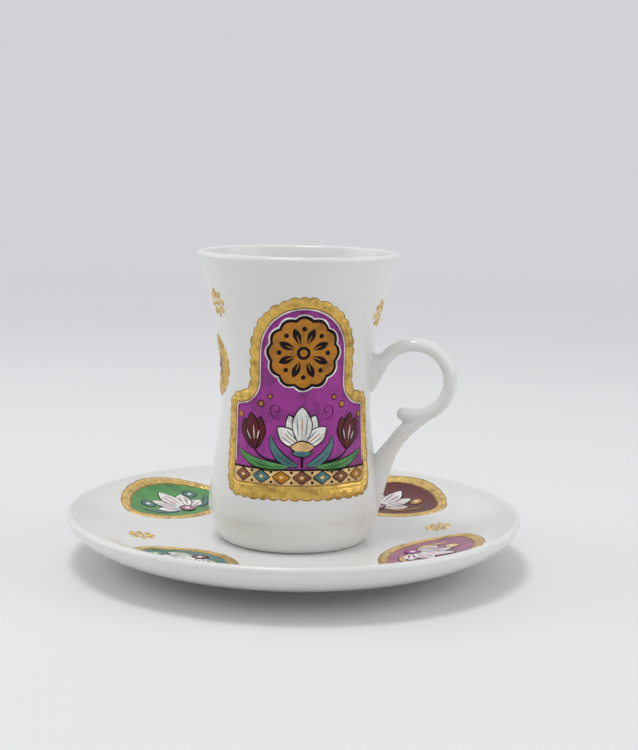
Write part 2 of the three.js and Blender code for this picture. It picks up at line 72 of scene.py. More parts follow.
# Height up to which a foot ring is wiped bare of glaze, and gap from it to the paper
BARE_RING = 0.05 * MM
PAPER_GAP = 0.05 * MM

# Leg of the handle: start on the loop, aim of its ends, end below the belly, and how much thinner
# it starts than the strap
LEG_START = math.radians(-57)
LEG_LEAVE, LEG_APPROACH = 17 * MM, 20.7 * MM
LEG_DROP = 2.5 * MM
LEG_INSET = 0.3 * MM

# Shares of the leg from its top: full thickness, start and full depth of the web, start of the foot
LEG_SWOLLEN, WEB_START, WEB_FULL, LEG_FOOT_START = 0.3, 0.4, 0.66, 0.55

# Block of wall that the handle is blended into: its limits, and its depth under the glaze
BLOCK_BACK, BLOCK_SIDE = 12 * MM, 10 * MM
BLOCK_BOTTOM, BLOCK_TOP = 2 * MM, 68 * MM
BLOCK_DEPTH = 0.22 * MM
# Depth under the glaze at which the blended handle is cut off
SEAT_DEPTH = 0.08 * MM

# Facets, in points or steps along each curve
FOOT_POINTS, BELLY_POINTS, FLARE_POINTS = 25, 29, 41
FLANGE_POINTS, UNDERSIDE_POINTS = 49, 49
FLOOR_POINTS = 16
LIP_STEPS = 14
ROOT_POINTS, LOOP_STEPS, LEG_POINTS = 24, 64, 40
STRAP_SIDES = 28
BLOCK_STEPS, SEAT_STEPS = 160, 128
TIP_DEGREES = (20, 40, 57, 70, 80)
NICHE_SIDE, NICHE_BEND, NICHE_CROWN = 12, 8, 20
LEAF_SIDE = 24
MERGE_DISTANCE = 1e-6

# Sponge that smooths the blended handle
SPONGE_STRENGTH, SPONGE_PASSES = 0.5, 14

# Coats of colour: depth of their hidden edge, crowding of rows at the edge, and steepness there
SINK = -0.03 * MM
EDGE_CROWDING = 2.2
EDGE_FALL = 6

# Panels, in millimetres: gap between frame and enamel, and run of the ground under the gold
FRAME_GAP, GROUND_OVERLAP = 0.3, 0.3
# Spacing of points, in millimetres, along a panel's ground, its gold and the shading inside it
GROUND_STEP, BAND_STEP, SHADING_STEP = 0.7, 0.34, 0.75

# Gold bands: groove as a share of the way across, and roundness of bumps, band and beads
GROOVE = 11 / 16
BUMP_ROUND, BAND_ROUND, BEAD_ROUND = 0.6, 0.6, 0.5
# Chance in gold bands, as amount and closeness: wander of the edges, of the bumps, and dabs
EDGE_WANDER = (0.25, 0.35)
BUMP_WANDER = (0.35, 0.2)
DABS = ((0.28, 0.8), (0.2, 2.1))
# Height of gold bands: level, and depth, balance and fading of the creases between bumps
BAND_LEVEL = 0.75
CREASE_DEPTH, CREASE_BALANCE, CREASE_FADE = 0.5, 0.8, 1.6
# Lines along a gold band, in millimetres: widths outside and inside, and gap outside
RIM_LINE, LIP_LINE, RIM_LINE_GAP = 0.34, 0.42, 0.08

# Painted panel on the cup, flat, in millimetres: across from its middle line, up from the foot
BORDER_TOP = 27
BORDER_INKS = ("russet", "teal", "ochre", "russet", "teal", "russet", "ochre")
ROSETTE_HEIGHT = 60.4
LOTUS_HEIGHT = 32.2
STEM = ((1.5, 26.6), (5, 29), (12.5, 27.5), (14.3, 31.5))
LOW_LEAF = ((4.0, 26.9), (9, 26.4), (15, 26.6), (20.2, 31.0))
HIGH_LEAF = ((1.2, 27.2), (4.2, 27.6), (8.6, 29.6), (9.4, 35.8))
TULIP = (14.3, 31.4)
TULIP_LEAN = 8
TENDRILS = (
    ((6.4, 40.6), (10.4, 40.6), (10.2, 45.4), (7.4, 44.6)),
    ((7.4, 44.6), (5.6, 43.8), (7.2, 41.6), (8.2, 43.2)),
    ((17.6, 43.6), (20.4, 45.4), (17.6, 48.4), (16.2, 46.6)),
)
# Beads: across, up, radius
BEADS = ((19.6, 41.2, 0.8), (12.4, 44.9, 0.8), (9.6, 47.2, 0.55))

# Fans of petals: direction in degrees, reach, width, coat
LOTUS_FAN = (
    (68, 10.5, 4.6, 4),
    (112, 10.5, 4.6, 4),
    (40, 9.4, 4.4, 6),
    (140, 9.4, 4.4, 6),
    (90, 12.2, 5.6, 8),
)
PALMETTE_FAN = (
    (22, 10.5, 4.4, 3),
    (158, 10.5, 4.4, 3),
    (56, 12.0, 5.2, 5),
    (124, 12.0, 5.2, 5),
    (90, 13.6, 5.8, 7),
)
# Foot of a palmette, from the middle of its panel towards the axis
PALMETTE_DROP = 6.2

# Florets on the cup: bearing from the handle in degrees, and height above the cup's foot
CUP_FLORETS = ((-144, 73.5), (-8, 71.0), (36, 73.5), (174, 71.0))
# Florets on the saucer: bearing
SAUCER_FLORETS = (-162, 22, -75, 106)
# Panels on the saucer: bearing, margin to the lip, length, inks of ground, stripes and discs
SAUCER_PANELS = (
    (150, 3.5, 44, "green", "mauve", "teal"),
    (-123, 9.5, 37, "teal", "maroon", "green"),
    (-19, 8.5, 50, "mauve", "purple", "straw"),
    (62, 3.5, 46, "maroon", "mauve", "ochre"),
)

# Inks without much gloss
DULL_INKS = ("dark", "violet")

# Lamps: name, setting of its power, place, and side of its square
LAMPS = (
    ("key_lamp", "key_power", (-0.12, -0.22, 1.13), 0.32),
    ("softbox_left", "left_power", (-1.1, -0.05, 0.55), 0.9),
    ("softbox_right", "right_power", (1.1, 0.05, 0.52), 0.9),
    ("softbox_back", "back_power", (-0.15, 1.2, 1.1), 1.2),
)
LAMP_AIM = Vector((0.0, 0.0, 0.05))


# Settings


def length(label, text, default):
    """A size in metres."""
    return FloatProperty(name=label, description=text, default=default, unit="LENGTH", precision=5)


def turn(label, text, degrees):
    """An angle."""
    default = math.radians(degrees)
    return FloatProperty(name=label, description=text, default=default, unit="ROTATION")


def power(label, text, watts):
    """A lamp's power."""
    return FloatProperty(name=label, description=text, default=watts, unit="POWER")


def tint(label, text, default):
    """A colour."""
    return FloatVectorProperty(
        name=label, description=text, default=default, size=3, min=0.0, max=1.0, subtype="COLOR"
    )


class CupSizes(bpy.types.PropertyGroup):
    """Turned shape of the cup."""

    base: length("Base", "Height of the foot above the table", CUP_LOW.z)
    height: length("Height", "From the foot to the top of the lip", CUP_HIGH.z - CUP_LOW.z)
    rim_radius: length("Rim radius", "Outside of the lip", 30.8 * MM)
    rim_flare: turn("Rim flare", "Lean of the wall under the lip", 20)
    lip_radius: length("Lip radius", "Roundness of the lip", 1.15 * MM)
    waist_radius: length("Waist radius", "Narrowest part of the wall", 22.9 * MM)
    waist_height: length("Waist height", "Height of the narrowest part", 42 * MM)
    belly_radius: length("Belly radius", "Widest part of the belly", 26.4 * MM)
    belly_height: length("Belly height", "Height of the widest part of the belly", 10.5 * MM)
    foot_radius: length("Foot radius", "Outside of the foot", 22.2 * MM)
    foot_width: length("Foot width", "Width of the ring that it stands on", 3 * MM)
    foot_recess: length("Foot recess", "Depth of the hollow inside the ring", 1.2 * MM)
    foot_round: length("Foot round", "Roundness of the foot's outer edge", 0.9 * MM)
    wall: length("Wall", "Thickness of the wall at the waist", 2.4 * MM)
    floor: length("Floor", "Height of the inside floor", 4.5 * MM)
    steps: IntProperty(name="Steps", description="Facets round the axis", default=192, min=24)


class HandleSizes(bpy.types.PropertyGroup):
    """Strap, spur and leg of the handle."""

    loop_offset: length("Loop offset", "From the waist to the middle of the loop", 13.4 * MM)
    loop_rise: length("Loop rise", "From the waist up to the middle of the loop", 8.4 * MM)
    loop_radius: length("Loop radius", "Middle line of the strap", 10.9 * MM)
    strap_thickness: length("Strap thickness", "Thickness of the strap", 4.2 * MM)
    strap_width: length("Strap width", "Width of the strap", 5.6 * MM)
    strap_start: turn("Strap start", "Place on the loop where the strap leaves for the wall", 143)
    spur_end: turn("Spur end", "Place on the loop where the strap ends in its spur", -106)
    root_rise: length("Root rise", "Middle of the root above the middle of the loop", 2.8 * MM)
    root_lead: length("Root lead", "Straight run from the loop towards the root", 2.2 * MM)
    root_depth: length("Root depth", "Depth of the root's end in the wall", 3 * MM)
    root_thickness: length("Root thickness", "Strap thickness at the wall", 15.7 * MM)
    root_width: length("Root width", "Strap width at the wall", 8.4 * MM)
    root_flare: length("Root flare", "Length over which the strap widens to its root", 8.5 * MM)
    leg_thickness: length("Leg thickness", "Thickness of the leg", 4.8 * MM)
    leg_width: length("Leg width", "Width of the leg", 6.3 * MM)
    leg_foot: length("Leg foot", "Width of the leg where it runs out on the belly", 9 * MM)
    leg_depth: length("Leg depth", "Depth of the leg's end in the wall", 2.5 * MM)
    leg_lean: turn("Leg lean", "Slope of the leg where it meets the belly", 16)
    leg_web: length("Leg web", "Clay that fills the corner between leg and wall", 1.7 * MM)
    grain: length("Grain", "Size of the facets that blend strap, leg and wall", 0.34 * MM)


class SaucerSizes(bpy.types.PropertyGroup):
    """Turned shape of the saucer."""

    radius: length("Radius", "Outside of the lip", SAUCER_HIGH.x)
    height: length("Height", "Top of the lip above the table", SAUCER_HIGH.z)
    lip_radius: length("Lip radius", "Roundness of the lip", 1.3 * MM)
    lip_slope: turn("Lip slope", "Rise of the flange at the lip", 38)
    wall: length("Wall", "Thickness of the well", 4 * MM)
    well_height: length("Well height", "Top of the well, where the cup stands", CUP_LOW.z)
    well_radius: length("Well radius", "Flat part of the well", 28 * MM)
    foot_radius: length("Foot radius", "Outside of the foot ring", 38 * MM)
    foot_width: length("Foot width", "Width of the foot ring", 3.5 * MM)
    foot_draft: length("Foot draft", "Slope of the foot ring's sides", 0.7 * MM)
    edge_drop: length("Edge drop", "Depth of the curve under the lip", 5.6 * MM)
    steps: IntProperty(name="Steps", description="Facets round the axis", default=224, min=24)


class DecorSizes(bpy.types.PropertyGroup):
    """Enamel panels, gold frames and florets."""

    film: length("Film", "Thickness of the fired film under a surface", 0.12 * MM)
    enamel: length("Enamel", "Rise of the ground colour above the glaze", 0.1 * MM)
    layer: length("Layer", "Rise of each coat of colour above the last", 0.03 * MM)
    edge: length("Edge", "Drop of a coat at its edge", 0.05 * MM)
    gold: length("Gold", "Rise of the raised gold", 0.5 * MM)
    panel_width: length("Panel width", "Outside of the frame", 50 * MM)
    panel_shoulder: length("Panel shoulder", "Step from the panel's side to its crown", 8.5 * MM)
    panel_bottom: length("Panel bottom", "Lower edge of the frame above the cup's foot", 17 * MM)
    panel_top: length("Panel top", "Upper edge of the frame above the cup's foot", 77 * MM)
    panel_neck: length("Panel neck", "Straight part under the arch", 9 * MM)
    panel_corner: length("Panel corner", "Corner of the enamel", 1.5 * MM)
    panel_frame: length("Panel frame", "Width of the gold", 3.2 * MM)
    panel_sill: length("Panel sill", "Added width of the gold along the panel's foot", 1.2 * MM)
    front_bearing: turn("Front bearing", "Middle of the front panel from the handle", -75)
    back_bearing: turn("Back bearing", "Middle of the back panel from the handle", 105)
    medallion_radius: length("Medallion radius", "Outside of its frame", 9.5 * MM)
    medallion_height: length("Medallion height", "Middle above the cup's foot", 54 * MM)
    medallion_frame: length("Medallion frame", "Width of its gold", 6 * MM)
    medallion_bearing: turn("Medallion bearing", "Middle of the medallion from the handle", -163)
    floret_radius: length("Floret radius", "Reach of a floret's petals", 4.4 * MM)
    leaf_width: length("Leaf width", "Saucer panel across", 29 * MM)
    leaf_frame: length("Leaf frame", "Width of its gold", 2.8 * MM)
    saucer_floret: length("Saucer floret", "Middle of a saucer floret from the axis", 47 * MM)
    scallop: length("Scallop", "Pitch of the bumps along a frame", 3.3 * MM)
    scallop_depth: length("Scallop depth", "Depth between the bumps of a cup frame", 0.8 * MM)
    leaf_scallop: length("Leaf scallop", "Depth between the bumps of a saucer frame", 0.2 * MM)


class Finishes(bpy.types.PropertyGroup):
    """Colours of the glaze, the inks, the gold and the stage."""

    porcelain: tint("Porcelain", "White body under clear glaze", (0.8, 0.805, 0.785))
    pinhole: tint("Pinhole", "Specks in the glaze", (0.3, 0.27, 0.24))
    bisque: tint("Bisque", "Bare clay of the foot rings", (0.62, 0.6, 0.55))
    gold: tint("Gold", "Raised fired gold of the cup's panels", (0.64, 0.42, 0.105))
    pale_gold: tint("Pale gold", "Thinner gold of the florets and the saucer", (0.68, 0.475, 0.165))
    purple: tint("Purple", "Ground of the cup's panels", (0.32, 0.034, 0.27))
    ochre: tint("Ochre", "Rosette and medallion", (0.47, 0.185, 0.008))
    white: tint("White", "White enamel", (0.8, 0.79, 0.76))
    dark: tint("Dark", "Drawn outlines", (0.01, 0.006, 0.008))
    violet: tint("Violet", "Hatching and tendrils on the purple", (0.1, 0.008, 0.085))
    red: tint("Red", "Tulips", (0.1, 0.004, 0.007))
    straw: tint("Straw", "Ground of the border", (0.76, 0.5, 0.21))
    russet: tint("Russet", "Brown lozenges", (0.21, 0.075, 0.032))
    bronze: tint("Bronze", "Thin edge of the gold", (0.36, 0.2, 0.05))
    teal: tint("Teal", "Teal enamel", (0.075, 0.19, 0.19))
    green: tint("Green", "Green enamel", (0.075, 0.27, 0.07))
    mauve: tint("Mauve", "Mauve enamel", (0.36, 0.12, 0.21))
    maroon: tint("Maroon", "Maroon enamel", (0.12, 0.02, 0.02))
    floor: tint("Floor", "Paper under the saucer", (0.835, 0.835, 0.845))
    backdrop: tint("Backdrop", "Paper far behind", (0.645, 0.64, 0.672))
    daylight: tint("Daylight", "Light from all round", (0.97, 0.985, 1.0))


class StageSizes(bpy.types.PropertyGroup):
    """Camera and lamps."""

    distance: length("Distance", "Camera from the axis", 454.8 * MM)
    eye: length("Eye", "Camera above the table", 125.2 * MM)
    bearing: turn("Bearing", "Camera round the axis, from the front", 10)
    pitch: turn("Pitch", "Camera's downward tilt", 8.39)
    yaw: turn("Yaw", "Camera's turn to the right", 0.88)
    roll: turn("Roll", "Camera's lean", -1.15)
    lens: FloatProperty(name="Lens", description="Focal length", default=72.0, unit="CAMERA")
    paper: length("Paper", "Radius of the floor", 6.0)
    key_power: power("Key power", "Lamp overhead", 3.9)
    left_power: power("Left power", "Softbox on the left", 2.6)
    right_power: power("Right power", "Softbox on the right", 2.8)
    back_power: power("Back power", "Softbox behind", 1.3)
    ambient: FloatProperty(name="Ambient", description="Light from all round", default=0.53)


class TeaSet(bpy.types.PropertyGroup):
    """All sizes and colours of the cup and its saucer."""

    cup: PointerProperty(type=CupSizes)
    handle: PointerProperty(type=HandleSizes)
    saucer: PointerProperty(type=SaucerSizes)
    decor: PointerProperty(type=DecorSizes)
    finish: PointerProperty(type=Finishes)
    stage: PointerProperty(type=StageSizes)


# Materials


def feed(tree, socket, value):
    """Links a socket to another node's output, or gives it a plain value."""
    if isinstance(value, bpy.types.NodeSocket):
        tree.links.new(value, socket)
    else:
        socket.default_value = value


def reckoned(tree, operation, *values):
    """The result of a sum on sockets and numbers."""
    node = tree.nodes.new("ShaderNodeMath")
    node.operation = operation
    for socket, value in zip(node.inputs, values):
        feed(tree, socket, value)
    return node.outputs[0]


def ramp(tree, value, stops):
    """Colours along a value."""
    node = tree.nodes.new("ShaderNodeValToRGB")
    elements = node.color_ramp.elements
    while len(elements) < len(stops):
        elements.new(0.5)
    for element, (position, colour) in zip(elements, stops):
        element.position = position
        element.color = (*colour, 1.0)
    feed(tree, node.inputs["Fac"], value)
    return node.outputs["Color"]


def levels(tree, value, source, target, curve="LINEAR"):
    """A value spread from one range to another."""
    node = tree.nodes.new("ShaderNodeMapRange")
    node.interpolation_type = curve
    names = ("From Min", "From Max", "To Min", "To Max")
    for name, limit in zip(names, (*source, *target)):
        feed(tree, node.inputs[name], limit)
    feed(tree, node.inputs["Value"], value)
    return node.outputs["Result"]


def mixed(tree, mask, first, second):
    """One colour socket and one plain colour, mixed by a mask."""
    node = tree.nodes.new("ShaderNodeMix")
    node.data_type = "RGBA"
    feed(tree, node.inputs["Factor"], mask)
    feed(tree, node.inputs[6], first)
    feed(tree, node.inputs[7], (*second, 1.0))
    return node.outputs[2]


def mixed_shaders(tree, mask, first, second):
    """Two shaders mixed by a mask."""
    node = tree.nodes.new("ShaderNodeMixShader")
    for socket, source in zip(node.inputs, (mask, first, second)):
        feed(tree, socket, source)
    return node.outputs["Shader"]


def dented(tree, shader, height, depth):
    """Relief that is too fine for the mesh."""
    bump = tree.nodes.new("ShaderNodeBump")
    feed(tree, bump.inputs["Distance"], depth)
    feed(tree, bump.inputs["Height"], height)
    feed(tree, shader.inputs["Normal"], bump.outputs["Normal"])


def shaded(colour, factor):
    """A colour made darker or lighter."""
    return tuple(min(1.0, part * factor) for part in colour)


def seen_rays(tree):
    """One for rays that the camera sees directly, in a reflection or through glass."""
    path = tree.nodes.new("ShaderNodeLightPath").outputs
    direct = reckoned(tree, "MAXIMUM", path["Is Camera Ray"], path["Is Glossy Ray"])
    return reckoned(tree, "MAXIMUM", direct, path["Is Transmission Ray"])


def mottle_group():
    """Uneven tone of colour that was brushed on and fired."""
    name = "kiln_mottle"
    if name in bpy.data.node_groups:
        return bpy.data.node_groups[name]
    group = bpy.data.node_groups.new(name, "ShaderNodeTree")
    for label, side, kind in (
        ("Vector", "INPUT", "NodeSocketVector"),
        ("Scale", "INPUT", "NodeSocketFloat"),
        ("Tone", "OUTPUT", "NodeSocketFloat"),
        ("Height", "OUTPUT", "NodeSocketFloat"),
    ):
        group.interface.new_socket(label, in_out=side, socket_type=kind)
    source, sink = group.nodes.new("NodeGroupInput"), group.nodes.new("NodeGroupOutput")
    broad, fine = (group.nodes.new("ShaderNodeTexNoise") for _ in range(2))
    times_finer, fine_share = 5.0, 0.35
    broad_scale = source.outputs["Scale"]
    fine_scale = reckoned(group, "MULTIPLY", broad_scale, times_finer)
    for texture, scale, detail in ((broad, broad_scale, 3.0), (fine, fine_scale, 2.0)):
        feed(group, texture.inputs["Vector"], source.outputs["Vector"])
        feed(group, texture.inputs["Scale"], scale)
        feed(group, texture.inputs["Detail"], detail)
    relief = fine.outputs["Fac"]
    tone = reckoned(group, "MULTIPLY_ADD", relief, fine_share, broad.outputs["Fac"])
    feed(group, sink.inputs["Tone"], tone)
    feed(group, sink.inputs["Height"], relief)
    return group


def mottled(tree, place, scale, colour, shades):
    """Shades of a colour in uneven patches, and the tone and relief of the patches."""
    node = tree.nodes.new("ShaderNodeGroup")
    node.node_tree = mottle_group()
    feed(tree, node.inputs["Vector"], place)
    feed(tree, node.inputs["Scale"], scale)
    tone = node.outputs["Tone"]
    stops = [(position, shaded(colour, factor)) for position, factor in shades]
    return ramp(tree, tone, stops), tone, node.outputs["Height"]


def blank(name):
    """A plain material, its nodes, its shader and the object's own coordinates."""
    material = bpy.data.materials.new(name)
    material.use_nodes = True
    tree = material.node_tree
    place = tree.nodes.new("ShaderNodeTexCoord").outputs["Object"]
    return material, tree, tree.nodes["Principled BSDF"], place


def porcelain_finish(finish):
    """White clay under a clear, slightly wavy glaze with a few pinholes."""
    name = "white_porcelain"
    if name in bpy.data.materials:
        return bpy.data.materials[name]
    material, tree, shader, place = blank(name)
    shades = ((0.35, 0.97), (0.95, 1.02))
    glaze, tone, relief = mottled(tree, place, 38.0, finish.porcelain, shades)
    cells = tree.nodes.new("ShaderNodeTexVoronoi")
    feed(tree, cells.inputs["Vector"], place)
    feed(tree, cells.inputs["Scale"], 75.0)
    pit = levels(tree, cells.outputs["Distance"], source=(0.018, 0.03), target=(1.0, 0.0))
    chance = tree.nodes.new("ShaderNodeSeparateColor")
    feed(tree, chance.inputs["Color"], cells.outputs["Color"])
    chosen = levels(tree, chance.outputs["Red"], source=(0.9, 0.91), target=(0.0, 0.8))
    speck = reckoned(tree, "MULTIPLY", pit, chosen)
    feed(tree, shader.inputs["Base Color"], mixed(tree, speck, glaze, finish.pinhole))
    gloss = levels(tree, tone, source=(0.3, 1.0), target=(0.1, 0.17))
    feed(tree, shader.inputs["Roughness"], gloss)
    shader.inputs["IOR"].default_value = 1.5
    dented(tree, shader, relief, depth=0.02 * MM)
    return material


def bisque_finish(finish):
    """Bare clay, where the glaze is wiped off."""
    name = "bare_clay"
    if name in bpy.data.materials:
        return bpy.data.materials[name]
    material, tree, shader, place = blank(name)
    shades = ((0.3, 0.85), (0.9, 1.05))
    clay, _, relief = mottled(tree, place, 500.0, finish.bisque, shades)
    feed(tree, shader.inputs["Base Color"], clay)
    shader.inputs["Roughness"].default_value = 0.75
    dented(tree, shader, relief, depth=0.05 * MM)
    return material


def enamel_finish(finish, ink):
    """Colour brushed on over the glaze, fired to a soft gloss."""
    name = f"brushed_{ink}"
    if name in bpy.data.materials:
        return bpy.data.materials[name]
    material, tree, shader, place = blank(name)
    shades = ((0.5, 0.7), (0.66, 1.0), (0.84, 1.2))
    enamel, tone, relief = mottled(tree, place, 210.0, getattr(finish, ink), shades)
    feed(tree, shader.inputs["Base Color"], enamel)
    gloss = levels(tree, tone, source=(0.35, 0.95), target=(0.28, 0.44))
    feed(tree, shader.inputs["Roughness"], gloss)
    shader.inputs["Specular IOR Level"].default_value = 0.12 if ink in DULL_INKS else 0.35
    dented(tree, shader, relief, depth=0.03 * MM)
    return material


def gold_finish(finish, gilt):
    """Raised gold, dabbed on and mottled, with painted highlight on its bumps and painted shade in
    its hollows.
    """
    name = f"raised_{gilt}"
    if name in bpy.data.materials:
        return bpy.data.materials[name]
    material, tree, shader, place = blank(name)
    # Shades follow the relief's noise in part: painted highlight on the bumps, painted shade in the
    # hollows
    shades = ((0.46, 0.62), (0.64, 1.0), (0.82, 1.2))
    gold_with_painted_sheen, tone, relief = mottled(tree, place, 420.0, getattr(finish, gilt), shades)
    feed(tree, shader.inputs["Base Color"], gold_with_painted_sheen)
    shader.inputs["Metallic"].default_value = 1.0
    gloss = levels(tree, tone, source=(0.35, 0.95), target=(0.42, 0.2))
    feed(tree, shader.inputs["Roughness"], gloss)
    dented(tree, shader, relief, depth=0.14 * MM)
    return material


def paper_finish(finish, camera_distance):
    """Pale paper that keeps the shadow and fades to the backdrop's tone far from the set."""
    material, tree, shader, place = blank("pale_paper")
    sheet, _, _ = mottled(tree, place, 3.0, finish.floor, ((0.3, 0.99), (0.9, 1.0)))
    feed(tree, shader.inputs["Base Color"], sheet)
    shader.inputs["Roughness"].default_value = 0.9
    shader.inputs["Specular IOR Level"].default_value = 0.15
    from_axis = tree.nodes.new("ShaderNodeVectorMath")
    from_axis.operation = "LENGTH"
    feed(tree, from_axis.inputs[0], place)
    away = from_axis.outputs["Value"]
    share = reckoned(tree, "DIVIDE", away, reckoned(tree, "ADD", away, camera_distance))
    far = levels(tree, share, source=(0.38, 0.76), target=(0.0, 1.0), curve="SMOOTHSTEP")
    fade = reckoned(tree, "MULTIPLY", far, seen_rays(tree))
    glow = tree.nodes.new("ShaderNodeEmission")
    glow.inputs["Color"].default_value = (*finish.backdrop, 1.0)
    paper = mixed_shaders(tree, fade, shader.outputs["BSDF"], glow.outputs["Emission"])
    feed(tree, tree.nodes["Material Output"].inputs["Surface"], paper)
    return material


# Lines and outlines


def bezier(start, leave, arrive, end, count):
    """Points of a cubic curve, both ends included."""
    corners = [Vector((*corner, 0.0)) for corner in (start, leave, arrive, end)]
    return [point.xy for point in interpolate_bezier(*corners, count)]


def bent(start, corner, end, count, pull=2 / 3):
    """Points of a curve whose ends aim at a corner, by a share of the way to it."""
    return bezier(start, start.lerp(corner, pull), end.lerp(corner, pull), end, count)


def polar(angle, radius):
    """A flat vector from its angle and length."""
    return Vector((math.cos(angle), math.sin(angle))) * radius


def eased(value, low, high):
    """Zero up to a low value, one from a high value on, and a smooth rise between."""
    share = min(max((value - low) / (high - low), 0.0), 1.0)
    return share * share * (3 - 2 * share)


def arc(centre, radius, start, end, count):
    """Points along an arc in degrees, without its last point."""
    turns = [math.radians(start + (end - start) * step / count) for step in range(count)]
    return [Vector(centre) + polar(angle, radius) for angle in turns]


def straight(start, end, count):
    """Points along a line, without its last point."""
    return [Vector(start).lerp(Vector(end), step / count) for step in range(count)]


def ruled(start, end, count):
    """Points along a line, both ends included."""
    return straight(start, end, count) + [Vector(end)]


def rounded(corners, radii, count=5):
    """A line with its inner corners rounded, each by its own radius."""
    line = [corners[0]]
    for before, corner, after, radius in zip(corners, corners[1:], corners[2:], radii):
        start = corner + (before - corner).normalized() * radius
        end = corner + (after - corner).normalized() * radius
        line += bent(start, corner, end, count, pull=0.55)
    return line + [corners[-1]]


def reader(points, known, wanted):
    """A function that reads one coordinate along a line of points from the other."""
    keys = [point[known] for point in points]

    def read(value):
        after = min(max(bisect.bisect_left(keys, value), 1), len(keys) - 1)
        first, second = points[after - 1], points[after]
        share = (value - first[known]) / (second[known] - first[known])
        return first[wanted] + (second[wanted] - first[wanted]) * share

    return read


def heading(line, index):
    """The direction of an open line at one of its points."""
    return line[min(index + 1, len(line) - 1)] - line[max(index - 1, 0)]


def mirrored(right):
    """A closed outline from its right half, which starts and ends on the middle line."""
    return right + [Vector((-point.x, point.y)) for point in reversed(right[1:-1])]


def normals(outline):
    """Outward directions along a counter-clockwise outline."""
    count = len(outline)
    found = []
    for index in range(count):
        along = outline[(index + 1) % count] - outline[index - 1]
        found.append(Vector((along.y, -along.x)).normalized())
    return found


def travelled(outline):
    """Distance along a closed outline to each point, and round to the start again."""
    total = [0.0]
    for index in range(len(outline)):
        total.append(total[-1] + (outline[(index + 1) % len(outline)] - outline[index]).length)
    return total


def spread(outlines, step):
    """Matching outlines with their points spaced evenly along the first."""
    total = travelled(outlines[0])
    count = max(12, round(total[-1] / step))
    closed = [outline + [outline[0]] for outline in outlines]
    result = [[] for _ in outlines]
    for index in range(count):
        distance = total[-1] * index / count
        after = bisect.bisect_right(total, distance)
        share = (distance - total[after - 1]) / (total[after] - total[after - 1])
        for points, line in zip(result, closed):
            points.append(line[after - 1].lerp(line[after], share))
    return result


def softened(outline, passes):
    """A closed outline with its points eased towards their neighbours."""
    for _ in range(passes):
        before, after = outline[-1:] + outline[:-1], outline[1:] + outline[:1]
        trios = zip(before, outline, after)
        outline = [(first + point * 2 + second) / 4 for first, point, second in trios]
    return outline


def grown(outline, distance):
    """A closed outline moved outwards."""
    return [point + out * distance for point, out in zip(outline, normals(outline))]


def stray(point, amount, closeness, seed):
    """Smooth chance at a flat point, up to an amount either way."""
    return amount * noise.noise(Vector((*point * closeness, seed)))


def by_hand(outline, amount, seed, closeness=0.45):
    """A closed outline with the small wander of a brush."""
    pairs = zip(outline, normals(outline))
    return [point + out * stray(point, amount, closeness, seed) for point, out in pairs]


def ring(x, y, radius, count, lobes=0, depth=0.0):
    """A disc's outline, with lobes if asked."""
    outline = []
    for index in range(count):
        angle = math.tau * index / count
        reach = radius + depth * (abs(math.cos(lobes * angle / 2)) - 1)
        outline.append(Vector((x, y)) + polar(angle, reach))
    return outline


def petal(x, y, reach, width, degrees, fullness=1.0, count=13):
    """A petal's outline from its foot to its tip and back."""
    angle = math.radians(degrees)
    along, left = polar(angle, reach), polar(angle + math.pi / 2, width / 2)
    shares = [step / count for step in range(count + 1)]
    swell = [math.sin(math.pi * share**fullness) ** 0.85 for share in shares]
    foot = Vector((x, y))
    steps = list(zip(shares, swell))
    right_side = [foot + along * share - left * size for share, size in steps]
    left_side = [foot + along * share + left * size for share, size in steps[-2:0:-1]]
    return right_side + left_side


def oval(x, y, reach, width, degrees, count=22):
    """A rounded petal's outline, fuller towards its tip."""
    heading_out = math.radians(degrees)
    along, left = polar(heading_out, reach / 2), polar(heading_out + math.pi / 2, width / 2)
    middle = Vector((x, y)) + along
    outline = []
    for index in range(count):
        angle = math.tau * index / count
        fullness = 0.86 + 0.2 * math.cos(angle)
        outline.append(middle + along * math.cos(angle) + left * math.sin(angle) * fullness)
    return outline


def lozenge(x, y, width, height, count=6):
    """A diamond's outline."""
    right, top = Vector((x + width, y)), Vector((x, y + height))
    left, bottom = Vector((x - width, y)), Vector((x, y - height))
    outline = []
    for start, end in ((right, top), (top, left), (left, bottom), (bottom, right)):
        outline += straight(start, end, count)
    return outline


# Turned shapes


def cup_wall(cup):
    """The cup's outside from foot to lip, as radius and height, and the lip's middle."""
    flare = Vector((math.sin(cup.rim_flare), math.cos(cup.rim_flare)))
    lip = Vector((cup.rim_radius - cup.lip_radius, cup.height - cup.lip_radius))
    top = lip + Vector((flare.y, -flare.x)) * cup.lip_radius
    belly = Vector((cup.belly_radius, cup.belly_height))
    waist = Vector((cup.waist_radius, cup.waist_height))
    rise = (waist.y - belly.y) * BELLY_UP
    climb = top.y - waist.y
    foot = Vector((cup.foot_radius, 0.0))
    leave = Vector((foot.x + (belly.x - foot.x) * FOOT_OUT, belly.y * FOOT_UP))
    up = Vector((0.0, 1.0))
    line = bezier(foot, leave, belly - up * belly.y * BELLY_DOWN, belly, FOOT_POINTS)
    line += bezier(belly, belly + up * rise, waist - up * rise, waist, BELLY_POINTS)[1:]
    above, below = waist + up * climb * WAIST_UP, top - flare * climb * RIM_DOWN
    line += bezier(waist, above, below, top, FLARE_POINTS)[1:]
    return line, lip


def moved_in(line, depth):
    """A line moved to its left by a depth for each point."""
    result = []
    for index, point in enumerate(line):
        along = heading(line, index)
        result.append(point + Vector((-along.y, along.x)).normalized() * depth(point))
    return result


